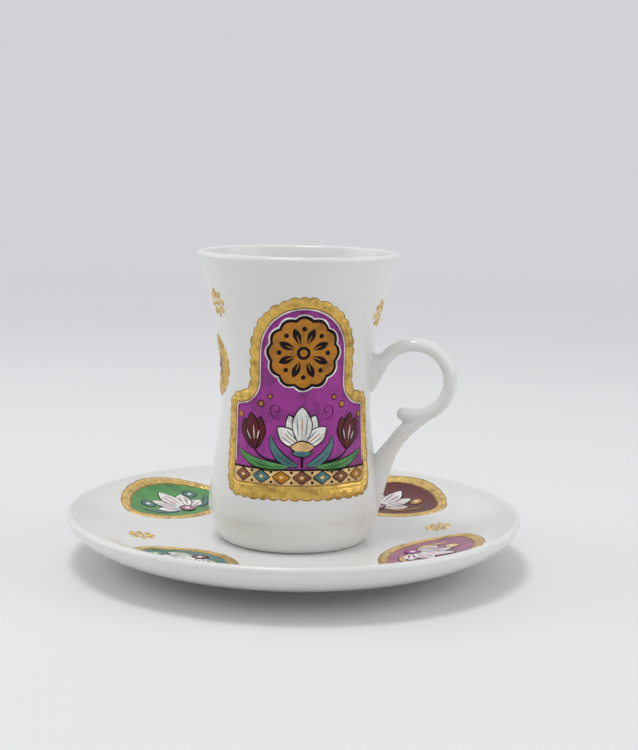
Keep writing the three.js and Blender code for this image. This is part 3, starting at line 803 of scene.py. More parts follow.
def cup_profile(cup):
    """The cup's section from the middle of its foot over the lip to the middle of its floor."""
    wall, lip = cup_wall(cup)
    inside_foot = cup.foot_radius - cup.foot_width
    above = [point for point in wall if (point - wall[0]).length > 1.5 * cup.foot_round]
    foot = rounded(
        [
            Vector((0.0, cup.foot_recess)),
            Vector((inside_foot - cup.foot_recess, cup.foot_recess)),
            Vector((inside_foot, 0.0)),
            wall[0],
            above[0],
        ],
        (CUP_RING_ROUND, CUP_RING_ROUND, cup.foot_round),
    )
    start = math.degrees(-cup.rim_flare)
    over = arc(lip, cup.lip_radius, start, start + 180, LIP_STEPS)[1:]

    def thickness(point):
        rise = (point.y - cup.waist_height) / (cup.height - cup.waist_height)
        return cup.wall + (2 * cup.lip_radius - cup.wall) * min(max(rise, 0.0), 1.0)

    corner_top = cup.floor + FLOOR_CORNER
    inside = [point for point in moved_in(wall, thickness) if point.y > corner_top]
    inside.reverse()
    low = inside[-1]
    corner = Vector((low.x, cup.floor))
    end = corner - Vector((2 * FLOOR_CORNER, 0.0))
    bottom = bent(low, corner, end, FLOOR_POINTS)[1:]
    return foot[:-1] + above + over + inside + bottom + [Vector((0.0, cup.floor))]


def saucer_flange(saucer):
    """The saucer's upper side from well to lip, as radius and height, and the lip's middle."""
    lip = Vector((saucer.radius - saucer.lip_radius, saucer.height - saucer.lip_radius))
    slope = polar(saucer.lip_slope, 1.0)
    edge = lip + Vector((-slope.y, slope.x)) * saucer.lip_radius
    well = Vector((saucer.well_radius, saucer.well_height))
    run = edge.x - well.x
    leave = well + Vector((run * WELL_OUT, 0.0))
    return bezier(well, leave, edge - slope * run * FLANGE_IN, edge, FLANGE_POINTS), lip


def saucer_profile(saucer):
    """The saucer's section from the middle of its underside over the lip to its well."""
    flange, lip = saucer_flange(saucer)
    height = reader(flange, 0, 1)
    outside, inside = saucer.foot_radius, saucer.foot_radius - saucer.foot_width
    under = height(outside) - saucer.wall
    run = saucer.radius - outside
    low = bezier(
        Vector((outside, under)),
        Vector((outside + run * UNDERSIDE_OUT, under)),
        Vector((lip.x, lip.y - saucer.edge_drop)),
        Vector((saucer.radius, lip.y)),
        UNDERSIDE_POINTS,
    )
    foot = rounded(
        [
            Vector((0.0, saucer.well_height - saucer.wall)),
            Vector((inside - saucer.foot_draft, saucer.well_height - saucer.wall)),
            Vector((inside, 0.0)),
            Vector((outside - saucer.foot_draft, 0.0)),
            low[0],
            low[1],
        ],
        (SAUCER_RING_ROUND,) * 4,
    )
    over = arc(lip, saucer.lip_radius, 0, 90 + math.degrees(saucer.lip_slope), LIP_STEPS)[1:]
    return foot[:-1] + low[1:] + over + flange[::-1] + [Vector((0.0, saucer.well_height))]


def spun(bm, profile, steps, base):
    """A section turned about the axis into a closed body."""
    corners = [bm.verts.new((point.x, 0.0, base + point.y)) for point in profile]
    edges = [bm.edges.new(pair) for pair in zip(corners, corners[1:])]
    bmesh.ops.spin(
        bm, geom=corners + edges, cent=(0, 0, 0), axis=(0, 0, 1),
        angle=math.tau, steps=steps, use_merge=True,
    )
    bmesh.ops.remove_doubles(bm, verts=bm.verts, dist=MERGE_DISTANCE)
    bmesh.ops.recalc_face_normals(bm, faces=bm.faces)


# Pieces


def smoothed(mesh, sharp):
    """A mesh shaded smooth but for edges above an angle in degrees."""
    mesh.shade_smooth()
    mesh.set_sharp_from_angle(angle=math.radians(sharp))
    return mesh


def as_mesh(bm, name, sharp=40.0):
    """A smooth mesh from a bmesh."""
    mesh = bpy.data.meshes.new(name)
    bm.to_mesh(mesh)
    bm.free()
    return smoothed(mesh, sharp)


def as_object(mesh, name):
    """An object at the origin that shows a mesh."""
    made = bpy.data.objects.new(name, mesh)
    bpy.context.scene.collection.objects.link(made)
    return made


def joined(piece, body, nodes):
    """Ties a piece to the body it moves with, and hides the solids that it stands for."""
    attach(piece, body)
    if nodes:
        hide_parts(*nodes)


def turned_piece(tea, name, profile, steps, base, body, node):
    """A turned piece of clay, glazed but for the ring that it stands on."""
    bm = bmesh.new()
    spun(bm, profile, steps, base)
    for face in bm.faces:
        face.material_index = int(all(vert.co.z < base + BARE_RING for vert in face.verts))
    piece = as_object(as_mesh(bm, name), name)
    piece.data.materials.append(porcelain_finish(tea.finish))
    piece.data.materials.append(bisque_finish(tea.finish))
    joined(piece, body, [node])


def film_piece(bm, name, material, decor, body, nodes=()):
    """A thin fired piece: a sheet that lies on the glaze, given its thickness inwards."""
    bmesh.ops.remove_doubles(bm, verts=bm.verts, dist=MERGE_DISTANCE)
    piece = as_object(as_mesh(bm, name, sharp=60.0), name)
    piece.data.materials.append(material)
    solid = piece.modifiers.new("fired film", "SOLIDIFY")
    solid.thickness = decor.film
    solid.offset = -1.0
    joined(piece, body, nodes)


def baked(piece):
    """A new mesh with a piece's modifiers applied."""
    bpy.context.view_layer.update()
    shown = piece.evaluated_get(bpy.context.evaluated_depsgraph_get())
    return bpy.data.meshes.new_from_object(shown)


def on_cup(tea, bearing):
    """Places a flat point on the cup: across and up in millimetres, lift in metres."""
    radius = reader(cup_wall(tea.cup)[0], 1, 0)
    base = tea.cup.base

    def place(across, up, lift):
        wall = radius(up * MM)
        angle = bearing + across * MM / wall
        out = wall + lift
        return Vector((out * math.cos(angle), out * math.sin(angle), base + up * MM))

    return place


def on_saucer(tea, bearing):
    """Places a flat point on the saucer: across and out in millimetres, lift in metres."""
    saucer = tea.saucer
    height = reader(saucer_flange(saucer)[0], 0, 1)
    turned = Matrix.Rotation(bearing, 3, "Z")

    def place(across, out, lift):
        radius = math.hypot(across, out) * MM
        level = height(radius) if radius > saucer.well_radius else saucer.well_height
        return turned @ Vector((out * MM, -across * MM, level + lift))

    return place


# Coats of colour and gold


def patch(bm, columns, rows):
    """A grid of new vertices, each with its column and its share of the way across."""
    made = bmesh.ops.create_grid(bm, x_segments=columns, y_segments=rows, size=0.5)
    for vert in made["verts"]:
        yield vert, round((vert.co.x + 0.5) * columns), vert.co.y + 0.5


def pillow(bm, outline, lift, place, drop, rows=6):
    """A flat coat of colour over an outline: it falls off at its edge and closes on its middle."""
    count = len(outline)
    middle = sum(outline, Vector((0.0, 0.0))) / count
    for vert, column, inward in patch(bm, count, rows):
        flat = outline[column % count].lerp(middle, inward**EDGE_CROWDING)
        vert.co = place(flat.x, flat.y, lift - drop * (1 - inward) ** EDGE_FALL)


def dome(bm, outline, lift, place, rows=6):
    """A round drop of gold over an outline."""
    count = len(outline)
    middle = sum(outline, Vector((0.0, 0.0))) / count
    for vert, column, inward in patch(bm, count, rows):
        flat = outline[column % count].lerp(middle, inward)
        round_off = math.sqrt(1 - (1 - inward) ** 2)
        vert.co = place(flat.x, flat.y, SINK + (lift - SINK) * round_off)


def stroke(bm, path, width, lift, place, drop, rows=4):
    """A brush stroke along a path, with a width for each share of its length."""
    count = len(path) - 1
    for vert, column, _ in patch(bm, count, rows):
        along = heading(path, column).normalized()
        side = vert.co.y * 2
        flat = path[column] + Vector((-along.y, along.x)) * side * width(column / count) / 2
        vert.co = place(flat.x, flat.y, lift - drop * side**4)


def scalloped(outlines, decor, depth, seed):
    """A gold band's rim with its bumps, its inner edge, and the swell of the bumps along them."""
    outer, inner = spread(outlines, BAND_STEP)
    total = travelled(outer)
    bumps = round(total[-1] / (decor.scallop / MM))
    rim, lip, swell = [], [], []
    for point, edge, out, distance in zip(outer, inner, normals(outer), total):
        wander = stray(point, *EDGE_WANDER, seed)
        phase = bumps * distance / total[-1] + stray(point, *BUMP_WANDER, seed + 9)
        wave = abs(math.sin(math.pi * phase)) ** BUMP_ROUND
        rim.append(point + out * (depth / MM * (wave - 1) + wander))
        lip.append(edge - out * wander)
        swell.append(1 + (wave - 1) * depth / decor.scallop_depth)
    return rim, lip, swell


def bulge(share, roundness):
    """Height across a bead, from nothing at its sides to one at its middle."""
    return max(0.0, 1 - (2 * share - 1) ** 2) ** roundness


def beaded(across):
    """Height over a gold band: a broad bead outside, a thin one inside, a groove between."""
    share = across / GROOVE if across < GROOVE else (across - GROOVE) / (1 - GROOVE)
    return bulge(across, BAND_ROUND) * (0.5 + 0.5 * bulge(share, BEAD_ROUND))


def gold_band(bm, band, place, decor, seed, rows=16):
    """Raised gold over a band: two beads, creased between the bumps and dabbed all over."""
    rim, lip, swell = band
    count = len(rim)
    for vert, column, across in patch(bm, count, rows):
        index = column % count
        flat = rim[index].lerp(lip[index], across)
        spot = Vector((flat.x, flat.y, seed))
        dabs = sum(amount * noise.noise(spot * scale) for amount, scale in DABS)
        fade = max(0.0, 1 - CREASE_FADE * across)
        crease = CREASE_DEPTH * (swell[index] - CREASE_BALANCE) * fade
        height = decor.gold * beaded(across) * (BAND_LEVEL + dabs + crease)
        vert.co = place(flat.x, flat.y, SINK + height)


def edge_lines(bm, band, place, decor):
    """Thin drawn lines along both sides of a gold band."""
    rim, lip, _ = band
    outside = (grown(rim, RIM_LINE_GAP), RIM_LINE, 0.3 * decor.enamel)
    inside = (lip, LIP_LINE, decor.enamel + 2 * decor.layer)
    for outline, width, lift in (outside, inside):
        path = outline[::2] + outline[:1]
        stroke(bm, path, lambda share, width=width: width, lift, place, decor.edge, rows=3)


def niche(decor, inset):
    """The panels' arched outline with shoulders, set in from its full size, in millimetres."""
    half, step = decor.panel_width / MM / 2, decor.panel_shoulder / MM
    bottom, top, neck_run = decor.panel_bottom / MM, decor.panel_top / MM, decor.panel_neck / MM
    corner = (decor.panel_corner + decor.panel_frame) / MM + FRAME_GAP
    crown, cove = half - step, step - corner
    arch = top - crown
    neck = arch - neck_run
    shoulder = neck - corner - cove
    right = straight((0, bottom + inset), (half - corner, bottom + inset), NICHE_SIDE)
    right += arc((half - corner, bottom + corner), corner - inset, -90, 0, NICHE_BEND)
    right += straight((half - inset, bottom + corner), (half - inset, shoulder), NICHE_SIDE)
    right += arc((half - corner, shoulder), corner - inset, 0, 90, NICHE_BEND)
    right += arc((crown + cove, neck), cove + inset, 270, 180, NICHE_BEND)
    right += straight((crown - inset, neck), (crown - inset, arch), NICHE_BEND)
    right += arc((0, arch), crown - inset, 0, 90, NICHE_CROWN)
    right.append(Vector((0.0, top - inset)))
    return mirrored(right)


def sill(decor, outline, fade=6.0):
    """A panel's inner outline, raised along its foot for a wider border there."""
    low = min(point.y for point in outline)
    rise = decor.panel_sill / MM
    return [
        point + Vector((0.0, rise * max(0.0, 1 - (point.y - low) / fade))) for point in outline
    ]


def leaf(decor, inset, middle, reach_across):
    """The saucer panels' pointed oval, set in from its full size, in millimetres."""
    half, rise = reach_across / 2, decor.leaf_width / MM / 2
    radius = (half * half + rise * rise) / (2 * rise)
    drop, reach = radius - rise, radius - inset
    width = math.degrees(math.acos(drop / reach))
    right = arc((0, middle + drop), reach, 270, 270 + width, LEAF_SIDE)
    right += arc((0, middle - drop), reach, 90 - width, 90, LEAF_SIDE)
    right.append(Vector((0.0, middle - drop + reach)))
    return softened(mirrored(right), passes=6)


class Picture:
    """Flat shapes of one painted panel, kept by ink, with the coat that each lies in."""

    def __init__(self, place, decor):
        self.place, self.decor, self.sheets = place, decor, {}

    def sheet(self, ink):
        """The bmesh of an ink."""
        if ink not in self.sheets:
            self.sheets[ink] = bmesh.new()
        return self.sheets[ink]

    def height(self, coat):
        """Lift of a coat of colour."""
        return self.decor.enamel + self.decor.layer * coat

    def fill(self, ink, outline, coat, wander=0.16):
        """A filled shape with a hand-drawn edge."""
        drawn = by_hand(outline, wander, seed=coat * 3.7)
        pillow(self.sheet(ink), drawn, self.height(coat), self.place, self.decor.edge)

    def outlined(self, ink, outline, coat, line=0.34):
        """A filled shape with a dark line round it."""
        self.fill("dark", grown(outline, line), coat - 1)
        self.fill(ink, outline, coat)

    def line(self, ink, path, width, coat, taper=0.3):
        """A stroke that is thin at its ends."""
        stroke(
            self.sheet(ink), path,
            lambda share: width * (taper + (1 - taper) * math.sin(math.pi * share) ** 0.7),
            self.height(coat), self.place, self.decor.edge,
        )

    def blade(self, ink, path, width, coat):
        """A curved leaf with a dark edge and a midrib."""
        self.line("dark", path, width + 0.7, coat - 1, taper=0.1)
        self.line(ink, path, width, coat, taper=0.03)
        self.line("dark", path[2:-6], 0.22, coat + 1)

    def pieces(self, name, finish, body):
        """One piece for each ink."""
        for ink, bm in self.sheets.items():
            material = enamel_finish(finish, ink)
            film_piece(bm, f"{name}_{ink}", material, self.decor, body)


# Painted designs, in millimetres on the flat


def on_side(side, points, count):
    """A curve given for the right half, drawn to the right or the left of the middle line."""
    return bezier(*((side * across, up) for across, up in points), count)


def stripe(foot, degrees, start, end):
    """A straight path up a petal, between two places given as a reach and a step aside."""
    angle = math.radians(degrees)
    first, last = (
        foot + polar(angle, reach) + polar(angle + math.pi / 2, aside)
        for reach, aside in (start, end)
    )
    return ruled(first, last, 8)


def paint_border(picture):
    """A straw band with a row of lozenges under a drawn line."""
    half, row_up, pitch, dots_up = 21.7, 23.75, 6.1, (22.3, 25.2)
    for ink, up, width, coat in (("straw", 23.6, 5.2, 1), ("dark", 26.0, 0.55, 3)):
        picture.line(ink, ruled((-half, up), (half, up), 60), width, coat, taper=1.0)
    for index, ink in enumerate(BORDER_INKS):
        across = (index - len(BORDER_INKS) // 2) * pitch
        picture.outlined(ink, lozenge(across, row_up, width=2.6, height=1.8), coat=4, line=0.28)
        picture.fill("straw", lozenge(across, row_up, width=0.8, height=0.6), coat=5, wander=0.05)
        if index:
            for up in dots_up:
                dot = ring(across - pitch / 2, up, radius=0.42, count=14)
                picture.fill("dark", dot, coat=3, wander=0.05)


def paint_rosette(picture, x, y):
    """A lobed ochre rosette in a white and a dark ring, with a dark flower on it."""
    for ink, radius, coat in (("white", 11.7, 1), ("dark", 11.2, 2), ("ochre", 10.3, 3)):
        picture.fill(ink, ring(x, y, radius, count=120, lobes=12, depth=0.9), coat)
    middle, petals = Vector((x, y)), 8
    half_turn = 180 / petals
    for index in range(petals):
        degrees = half_turn + index * 2 * half_turn
        angle = math.radians(degrees)
        foot = middle + polar(angle, 2.5)
        outline = petal(foot.x, foot.y, reach=5.4, width=2.3, degrees=degrees, fullness=1.25)
        picture.fill("dark", outline, coat=4, wander=0.1)
        rib = straight(foot, foot + polar(angle, 3.6), 8)
        picture.line("ochre", rib, width=0.4, coat=5)
        dot = middle + polar(math.radians(degrees + half_turn), 7.2)
        picture.fill("dark", ring(dot.x, dot.y, radius=0.72, count=16), coat=4, wander=0.06)
    picture.fill("dark", ring(x, y, radius=2.0, count=24), coat=4, wander=0.08)
    picture.fill("ochre", ring(x, y, radius=1.1, count=20), coat=5, wander=0.05)


def paint_shading(picture, edge):
    """A pale line inside the frame, and short dark strokes that shade the ground along it."""
    inside, starts = (
        [point for point in grown(edge, -inset) if point.y > BORDER_TOP] for inset in (0.35, 0.6)
    )
    stroke(
        picture.sheet("white"), inside, lambda share: 0.42,
        picture.height(1), picture.place, picture.decor.edge, rows=3,
    )
    for before, start, after in zip(starts, starts[1:], starts[2:]):
        along = (after - before).normalized()
        reach = 1.5 + stray(start, amount=1.2, closeness=0.5, seed=3.0)
        lean = Vector((-along.y, along.x)) * reach + along * 0.25 * reach
        picture.line("violet", straight(start, start + lean, 3), width=0.3, coat=0.7)


def paint_lotus(picture, x, y):
    """A white flower in a fan of petals, with striped throats, on a banded cup."""
    foot = Vector((x, y))
    for degrees, reach, width, coat in LOTUS_FAN:
        picture.outlined("white", petal(x, y, reach, width, degrees, 1.2), coat)
        for side, ink in ((-0.55, "teal"), (0.0, "ochre"), (0.55, "teal")):
            start = (reach * 0.3, side * width * 0.36)
            end = (reach * 0.72, side * width * 0.5)
            picture.line(ink, stripe(foot, degrees, start, end), width=0.42, coat=coat + 1)
    for ink, up, reach, width in (("straw", y + 0.4, 6.8, 3.4), ("teal", y - 1.3, 5.8, 2.0)):
        picture.outlined(ink, petal(x - reach / 2, up, reach, width, degrees=0), coat=10)


def paint_tulip(picture, x, y, lean):
    """A dark red tulip of three petals, with white strokes on them as painted highlights."""
    upright = 90 - lean
    for aside, reach, width, coat in ((-19, 9.6, 4.2, 4), (19, 9.6, 4.2, 4), (0, 10.6, 4.4, 6)):
        picture.outlined("red", petal(x, y, reach, width, upright + aside, 1.1), coat)
    foot = Vector((x, y))
    # White strokes along the petals: painted highlights
    for aside, start, end in ((-4, 3.0, 7.6), (20, 3.2, 6.6), (-22, 3.2, 6.2)):
        along = polar(math.radians(upright + aside), 1.0)
        path = straight(foot + along * start, foot + along * end, 8)
        picture.line("white", path, width=0.34, coat=8)


def paint_bouquet(picture):
    """Flowers on stems between leaves, above the border."""
    for side in (-1, 1):
        picture.line("dark", on_side(side, STEM, 20), width=0.6, coat=2, taper=0.8)
        picture.blade("green", on_side(side, LOW_LEAF, 24), width=2.6, coat=3)
        picture.blade("teal", on_side(side, HIGH_LEAF, 24), width=2.5, coat=3)
        across, up = TULIP
        paint_tulip(picture, side * across, up, side * TULIP_LEAN)
        for across, up, size in BEADS:
            picture.outlined("ochre", ring(side * across, up, size, 16), coat=4, line=0.26)
        for tendril in TENDRILS:
            path = on_side(side, tendril, 14)
            picture.line("violet", path, width=0.42, coat=1.5, taper=0.35)
    picture.line("dark", ruled((0, 26.6), (0, 31.5), 8), width=0.8, coat=2, taper=0.8)
    paint_lotus(picture, 0.0, LOTUS_HEIGHT)


def paint_palmette(picture, y, accent, disc):
    """A fan of striped white petals between two discs, for a saucer panel."""
    foot = Vector((0.0, y))
    for degrees, reach, width, coat in PALMETTE_FAN:
        picture.outlined("white", petal(0.0, y, reach, width, degrees, 1.25), coat)
        for side in (-0.5, 0.5):
            start = (reach * 0.32, side * width * 0.3)
            end = (reach * 0.8, side * width * 0.4)
            picture.line(accent, stripe(foot, degrees, start, end), width=0.75, coat=coat + 1)
    picture.outlined(accent, ring(0.0, y, radius=2.3, count=24), coat=9)
    picture.fill("white", ring(0.0, y, radius=0.9, count=16), coat=10, wander=0.05)
    sprig = ((3.0, y + 0.4), (7, y - 1.4), (10.5, y + 1.0), (14.4, y + 6.0))
    for side in (-1, 1):
        across, up = side * 9.6, y + 8.6
        picture.outlined(disc, ring(across, up, radius=2.1, count=24), coat=4)
        picture.fill("white", ring(across, up, radius=0.8, count=16), coat=6, wander=0.05)
        picture.blade(disc, on_side(side, sprig, 20), width=1.9, coat=3)


def paint_daisy(picture, up, reach):
    """Six white petals round a purple heart, for the medallion."""
    for index in range(6):
        degrees = 30 + index * 60
        foot = Vector((0.0, up)) + polar(math.radians(degrees), reach * 0.2)
        outline = petal(foot.x, foot.y, reach * 0.68, reach * 0.5, degrees, fullness=1.2)
        picture.outlined("white", outline, coat=3, line=0.2)
    picture.outlined("purple", ring(0.0, up, reach * 0.24, count=20), coat=6, line=0.2)


def lay_panel(tea, name, place, outlines, ink, gilt, seed, body, nodes, rows):
    """The enamel ground of a panel, its gold frame and the lines along it."""
    decor, finish = tea.decor, tea.finish
    ground = bmesh.new()
    edge = spread([grown(outlines[1], GROUND_OVERLAP)], GROUND_STEP)[0]
    pillow(ground, edge, decor.enamel, place, decor.enamel - SINK, rows)
    material = enamel_finish(finish, ink)
    film_piece(ground, f"{name}_ground", material, decor, body, nodes[:1])
    depth = decor.scallop_depth if body == "cup" else decor.leaf_scallop
    band = scalloped(outlines, decor, depth, seed)
    gold = bmesh.new()
    gold_band(gold, band, place, decor, seed)
    material = gold_finish(finish, gilt)
    film_piece(gold, f"{name}_gold", material, decor, body, nodes[1:])
    lines = bmesh.new()
    edge_lines(lines, band, place, decor)
    material = enamel_finish(finish, "bronze")
    film_piece(lines, f"{name}_edges", material, decor, body)


def floret(bm, place, up, decor, seed):
    """A flower of eight domed petals round a domed heart."""
    reach, petals = decor.floret_radius / MM, 8
    for index in range(petals):
        degrees = index * 360 / petals + seed
        foot = Vector((0.0, up)) + polar(math.radians(degrees), reach * 0.3)
        outline = oval(foot.x, foot.y, reach * 0.7, reach * 0.46, degrees)
        drawn = by_hand(outline, amount=0.2, seed=seed + index)
        dome(bm, drawn, decor.gold * 0.6, place)
    dome(bm, ring(0.0, up, reach * 0.2, count=18), decor.gold * 0.7, place)


# Operators


class TEACUP_OT_stage(bpy.types.Operator):
    """Lay the paper, hang the softboxes and set up the camera"""

    bl_idname = "teacup.stage"
    bl_label = "Stage"

    def execute(self, context):
        tea = context.scene.tea_set
        stage, finish = tea.stage, tea.finish
        self.lay_paper(stage, finish)
        self.light_room(context.scene, stage, finish)
        self.set_camera(context.scene, stage)
        context.scene.view_settings.view_transform = "Standard"
        return {"FINISHED"}

    def lay_paper(self, stage, finish):
        """A round sheet of paper just under the saucer's foot ring."""
        bm = bmesh.new()
        under = Matrix.Translation((0.0, 0.0, -PAPER_GAP))
        bmesh.ops.create_circle(bm, cap_ends=True, segments=96, radius=stage.paper, matrix=under)
        paper = as_object(as_mesh(bm, "paper"), "paper")
        paper.data.materials.append(paper_finish(finish, stage.distance))

    def light_room(self, scene, stage, finish):
        """Even light all round, a lamp overhead, and softboxes at the sides and behind."""
        world = bpy.data.worlds.new("studio")
        world.use_nodes = True
        tree = world.node_tree
        even, behind = tree.nodes["Background"], tree.nodes.new("ShaderNodeBackground")
        even.inputs["Color"].default_value = (*finish.daylight, 1.0)
        even.inputs["Strength"].default_value = stage.ambient
        behind.inputs["Color"].default_value = (*finish.backdrop, 1.0)
        lit, seen = (node.outputs["Background"] for node in (even, behind))
        room = mixed_shaders(tree, seen_rays(tree), lit, seen)
        feed(tree, tree.nodes["World Output"].inputs["Surface"], room)
        scene.world = world
        for name, setting, place, side in LAMPS:
            self.hang_lamp(scene, name, Vector(place), side, getattr(stage, setting))

    def hang_lamp(self, scene, name, place, side, watts):
        """A square lamp that faces the cup."""
        lamp = bpy.data.lights.new(name, "AREA")
        lamp.shape = "SQUARE"
        lamp.size = side
        lamp.energy = watts
        made = bpy.data.objects.new(name, lamp)
        made.location = place
        made.visible_camera = False
        made.rotation_euler = (LAMP_AIM - place).to_track_quat("-Z", "Y").to_euler()
        scene.collection.objects.link(made)

    def set_camera(self, scene, stage):
        """A camera at the height, bearing and tilt from which the set is shown."""
        lens = bpy.data.cameras.new("camera")
        lens.lens = stage.lens
        lens.sensor_width = 36.0
        lens.clip_start = 0.01
        pitch, yaw, roll = stage.pitch, stage.yaw, stage.roll
        level = math.cos(pitch)
        forward = Vector((math.sin(yaw) * level, math.cos(yaw) * level, -math.sin(pitch)))
        right = Vector((math.cos(yaw), -math.sin(yaw), 0.0))
        down = forward.cross(right)
        sideways = right * math.cos(roll) + down * math.sin(roll)
        upright = right * math.sin(roll) - down * math.cos(roll)
        aim = Matrix((sideways, upright, -forward)).transposed().to_4x4()
        aim.translation = (0.0, -stage.distance, stage.eye)
        camera = bpy.data.objects.new("camera", lens)
        camera.matrix_world = Matrix.Rotation(stage.bearing, 4, "Z") @ aim
        scene.collection.objects.link(camera)
        scene.camera = camera


class TEACUP_OT_cup(bpy.types.Operator):
    """Turn the cup's wall, lip, floor and foot"""

    bl_idname = "teacup.cup"
    bl_label = "Cup"

    def execute(self, context):
        tea = context.scene.tea_set
        cup = tea.cup
        turned_piece(tea, "cup_shell", cup_profile(cup), cup.steps, cup.base, "cup", "cup_body")
        return {"FINISHED"}


class TEACUP_OT_saucer(bpy.types.Operator):
    """Turn the saucer's well, flange, lip and foot ring"""

    bl_idname = "teacup.saucer"
    bl_label = "Saucer"

    def execute(self, context):
        tea = context.scene.tea_set
        profile = saucer_profile(tea.saucer)
        steps = tea.saucer.steps
        turned_piece(tea, "saucer_shell", profile, steps, 0.0, "saucer", "saucer_plate")
        return {"FINISHED"}


class TEACUP_OT_handle(bpy.types.Operator):
    """Bend the strap and the leg, blend them into each other and into the wall"""

    bl_idname = "teacup.handle"
    bl_label = "Handle"

    def execute(self, context):
        tea = context.scene.tea_set
        clay = bmesh.new()
        for sections in (self.strap(tea), self.leg(tea)):
            self.loft(clay, sections + self.tip(sections[-1]))
        self.wall_block(clay, tea)
        rough = as_object(as_mesh(clay, "handle_clay"), "handle_clay")
        remesh = rough.modifiers.new("blend", "REMESH")
        remesh.mode = "VOXEL"
        remesh.voxel_size = tea.handle.grain
        smooth = rough.modifiers.new("sponge", "SMOOTH")
        smooth.factor = SPONGE_STRENGTH
        smooth.iterations = SPONGE_PASSES
        blended = as_object(baked(rough), "handle_blended")
        cutter = bmesh.new()
        spun(cutter, self.solid_wall(tea, SEAT_DEPTH), SEAT_STEPS, tea.cup.base)
        wall = as_object(as_mesh(cutter, "handle_seat"), "handle_seat")
        cut = blended.modifiers.new("seat", "BOOLEAN")
        cut.operation = "DIFFERENCE"
        cut.object = wall
        mesh = smoothed(baked(blended), sharp=50.0)
        mesh.name = "handle_strap"
        for spare in (rough, blended, wall):
            bpy.data.objects.remove(spare)
        mesh.materials.clear()
        mesh.materials.append(porcelain_finish(tea.finish))
        piece = as_object(mesh, "handle_strap")
        nodes = ["cup_handle", "upper_slip_joint", "lower_slip_joint"]
        joined(piece, "cup", nodes)
        return {"FINISHED"}

    def solid_wall(self, tea, depth):
        """The cup's outside as a full solid's section, shrunk by a depth."""
        wall = moved_in(cup_wall(tea.cup)[0], lambda point: depth)
        return [Vector((0.0, wall[0].y)), *wall, Vector((0.0, wall[-1].y))]

    def wall_block(self, clay, tea):
        """The wall behind the handle, a little below the glaze, for the roots to blend into."""
        block = bmesh.new()
        base = tea.cup.base
        spun(block, self.solid_wall(tea, BLOCK_DEPTH), BLOCK_STEPS, base)
        planes = (
            ((BLOCK_BACK, 0, 0), (-1, 0, 0)),
            ((0, BLOCK_SIDE, 0), (0, 1, 0)),
            ((0, -BLOCK_SIDE, 0), (0, -1, 0)),
            ((0, 0, base + BLOCK_BOTTOM), (0, 0, -1)),
            ((0, 0, base + BLOCK_TOP), (0, 0, 1)),
        )
        for point, away in planes:
            cut = bmesh.ops.bisect_plane(
                block, geom=block.verts[:] + block.edges[:] + block.faces[:],
                plane_co=point, plane_no=away, clear_outer=True,
            )
            rim = [part for part in cut["geom_cut"] if isinstance(part, bmesh.types.BMEdge)]
            bmesh.ops.edgeloop_fill(block, edges=rim)
        mesh = bpy.data.meshes.new("wall_block")
        block.to_mesh(mesh)
        block.free()
        clay.from_mesh(mesh)
        bpy.data.meshes.remove(mesh)

    def section(self, centre, along, thickness, width, base):
        """A matrix that places a round section across a line in the plane of the handle."""
        side = Vector((-along.y, 0.0, along.x)) * thickness / 2
        out = Vector((0.0, width / 2, 0.0))
        ahead = Vector((along.x, 0.0, along.y))
        matrix = Matrix((side, out, ahead)).transposed().to_4x4()
        matrix.translation = (centre.x, 0.0, centre.y + base)
        return matrix

    def tip(self, last):
        """Smaller and smaller sections that round off an end."""
        sections = []
        side, out, ahead = (last.to_3x3().col[index].copy() for index in range(3))
        for degrees in TIP_DEGREES:
            shrink, reach = math.cos(math.radians(degrees)), math.sin(math.radians(degrees))
            matrix = Matrix((side * shrink, out * shrink, ahead)).transposed().to_4x4()
            matrix.translation = last.translation + ahead * side.length * reach
            sections.append(matrix)
        return sections

    def loft(self, bm, sections):
        """Sections bridged into a closed strap."""
        rims = []
        for matrix in sections:
            made = bmesh.ops.create_circle(
                bm, cap_ends=False, segments=STRAP_SIDES, radius=1.0, matrix=matrix
            )
            edges = (edge for vert in made["verts"] for edge in vert.link_edges)
            rims.append(list(dict.fromkeys(edges)))
        faces = []
        for first, second in zip(rims, rims[1:]):
            faces += bmesh.ops.bridge_loops(bm, edges=first + second)["faces"]
        for rim in (rims[0], rims[-1]):
            faces += bmesh.ops.edgeloop_fill(bm, edges=rim)["faces"]
        bmesh.ops.recalc_face_normals(bm, faces=faces)

    def loop(self, tea):
        """The middle of the loop, in the plane of the handle."""
        cup, handle = tea.cup, tea.handle
        return Vector((cup.waist_radius + handle.loop_offset, cup.waist_height + handle.loop_rise))

    def strap(self, tea):
        """Sections from inside the wall, over the top and round to the spur."""
        cup, handle = tea.cup, tea.handle
        middle = self.loop(tea)
        start, end = handle.strap_start, handle.spur_end
        entry = middle + polar(start, handle.loop_radius)
        radius = reader(cup_wall(cup)[0], 1, 0)
        high = middle.y + handle.root_rise
        root = Vector((radius(high) - handle.root_depth, high))
        lead = entry - polar(start - math.pi / 2, handle.root_lead)
        line = bent(root, lead, entry, ROOT_POINTS)[:-1]
        for step in range(LOOP_STEPS + 1):
            angle = start + (end - start) * step / LOOP_STEPS
            line.append(middle + polar(angle, handle.loop_radius))
        more_thickness = handle.root_thickness - handle.strap_thickness
        more_width = handle.root_width - handle.strap_width
        sections, travel = [], 0.0
        for index, point in enumerate(line):
            travel += (point - line[max(index - 1, 0)]).length
            flare = 1 - eased(travel, 0.0, handle.root_flare)
            thickness = handle.strap_thickness + more_thickness * flare
            width = handle.strap_width + more_width * flare
            along = heading(line, index).normalized()
            sections.append(self.section(point, along, thickness, width, cup.base))
        return sections

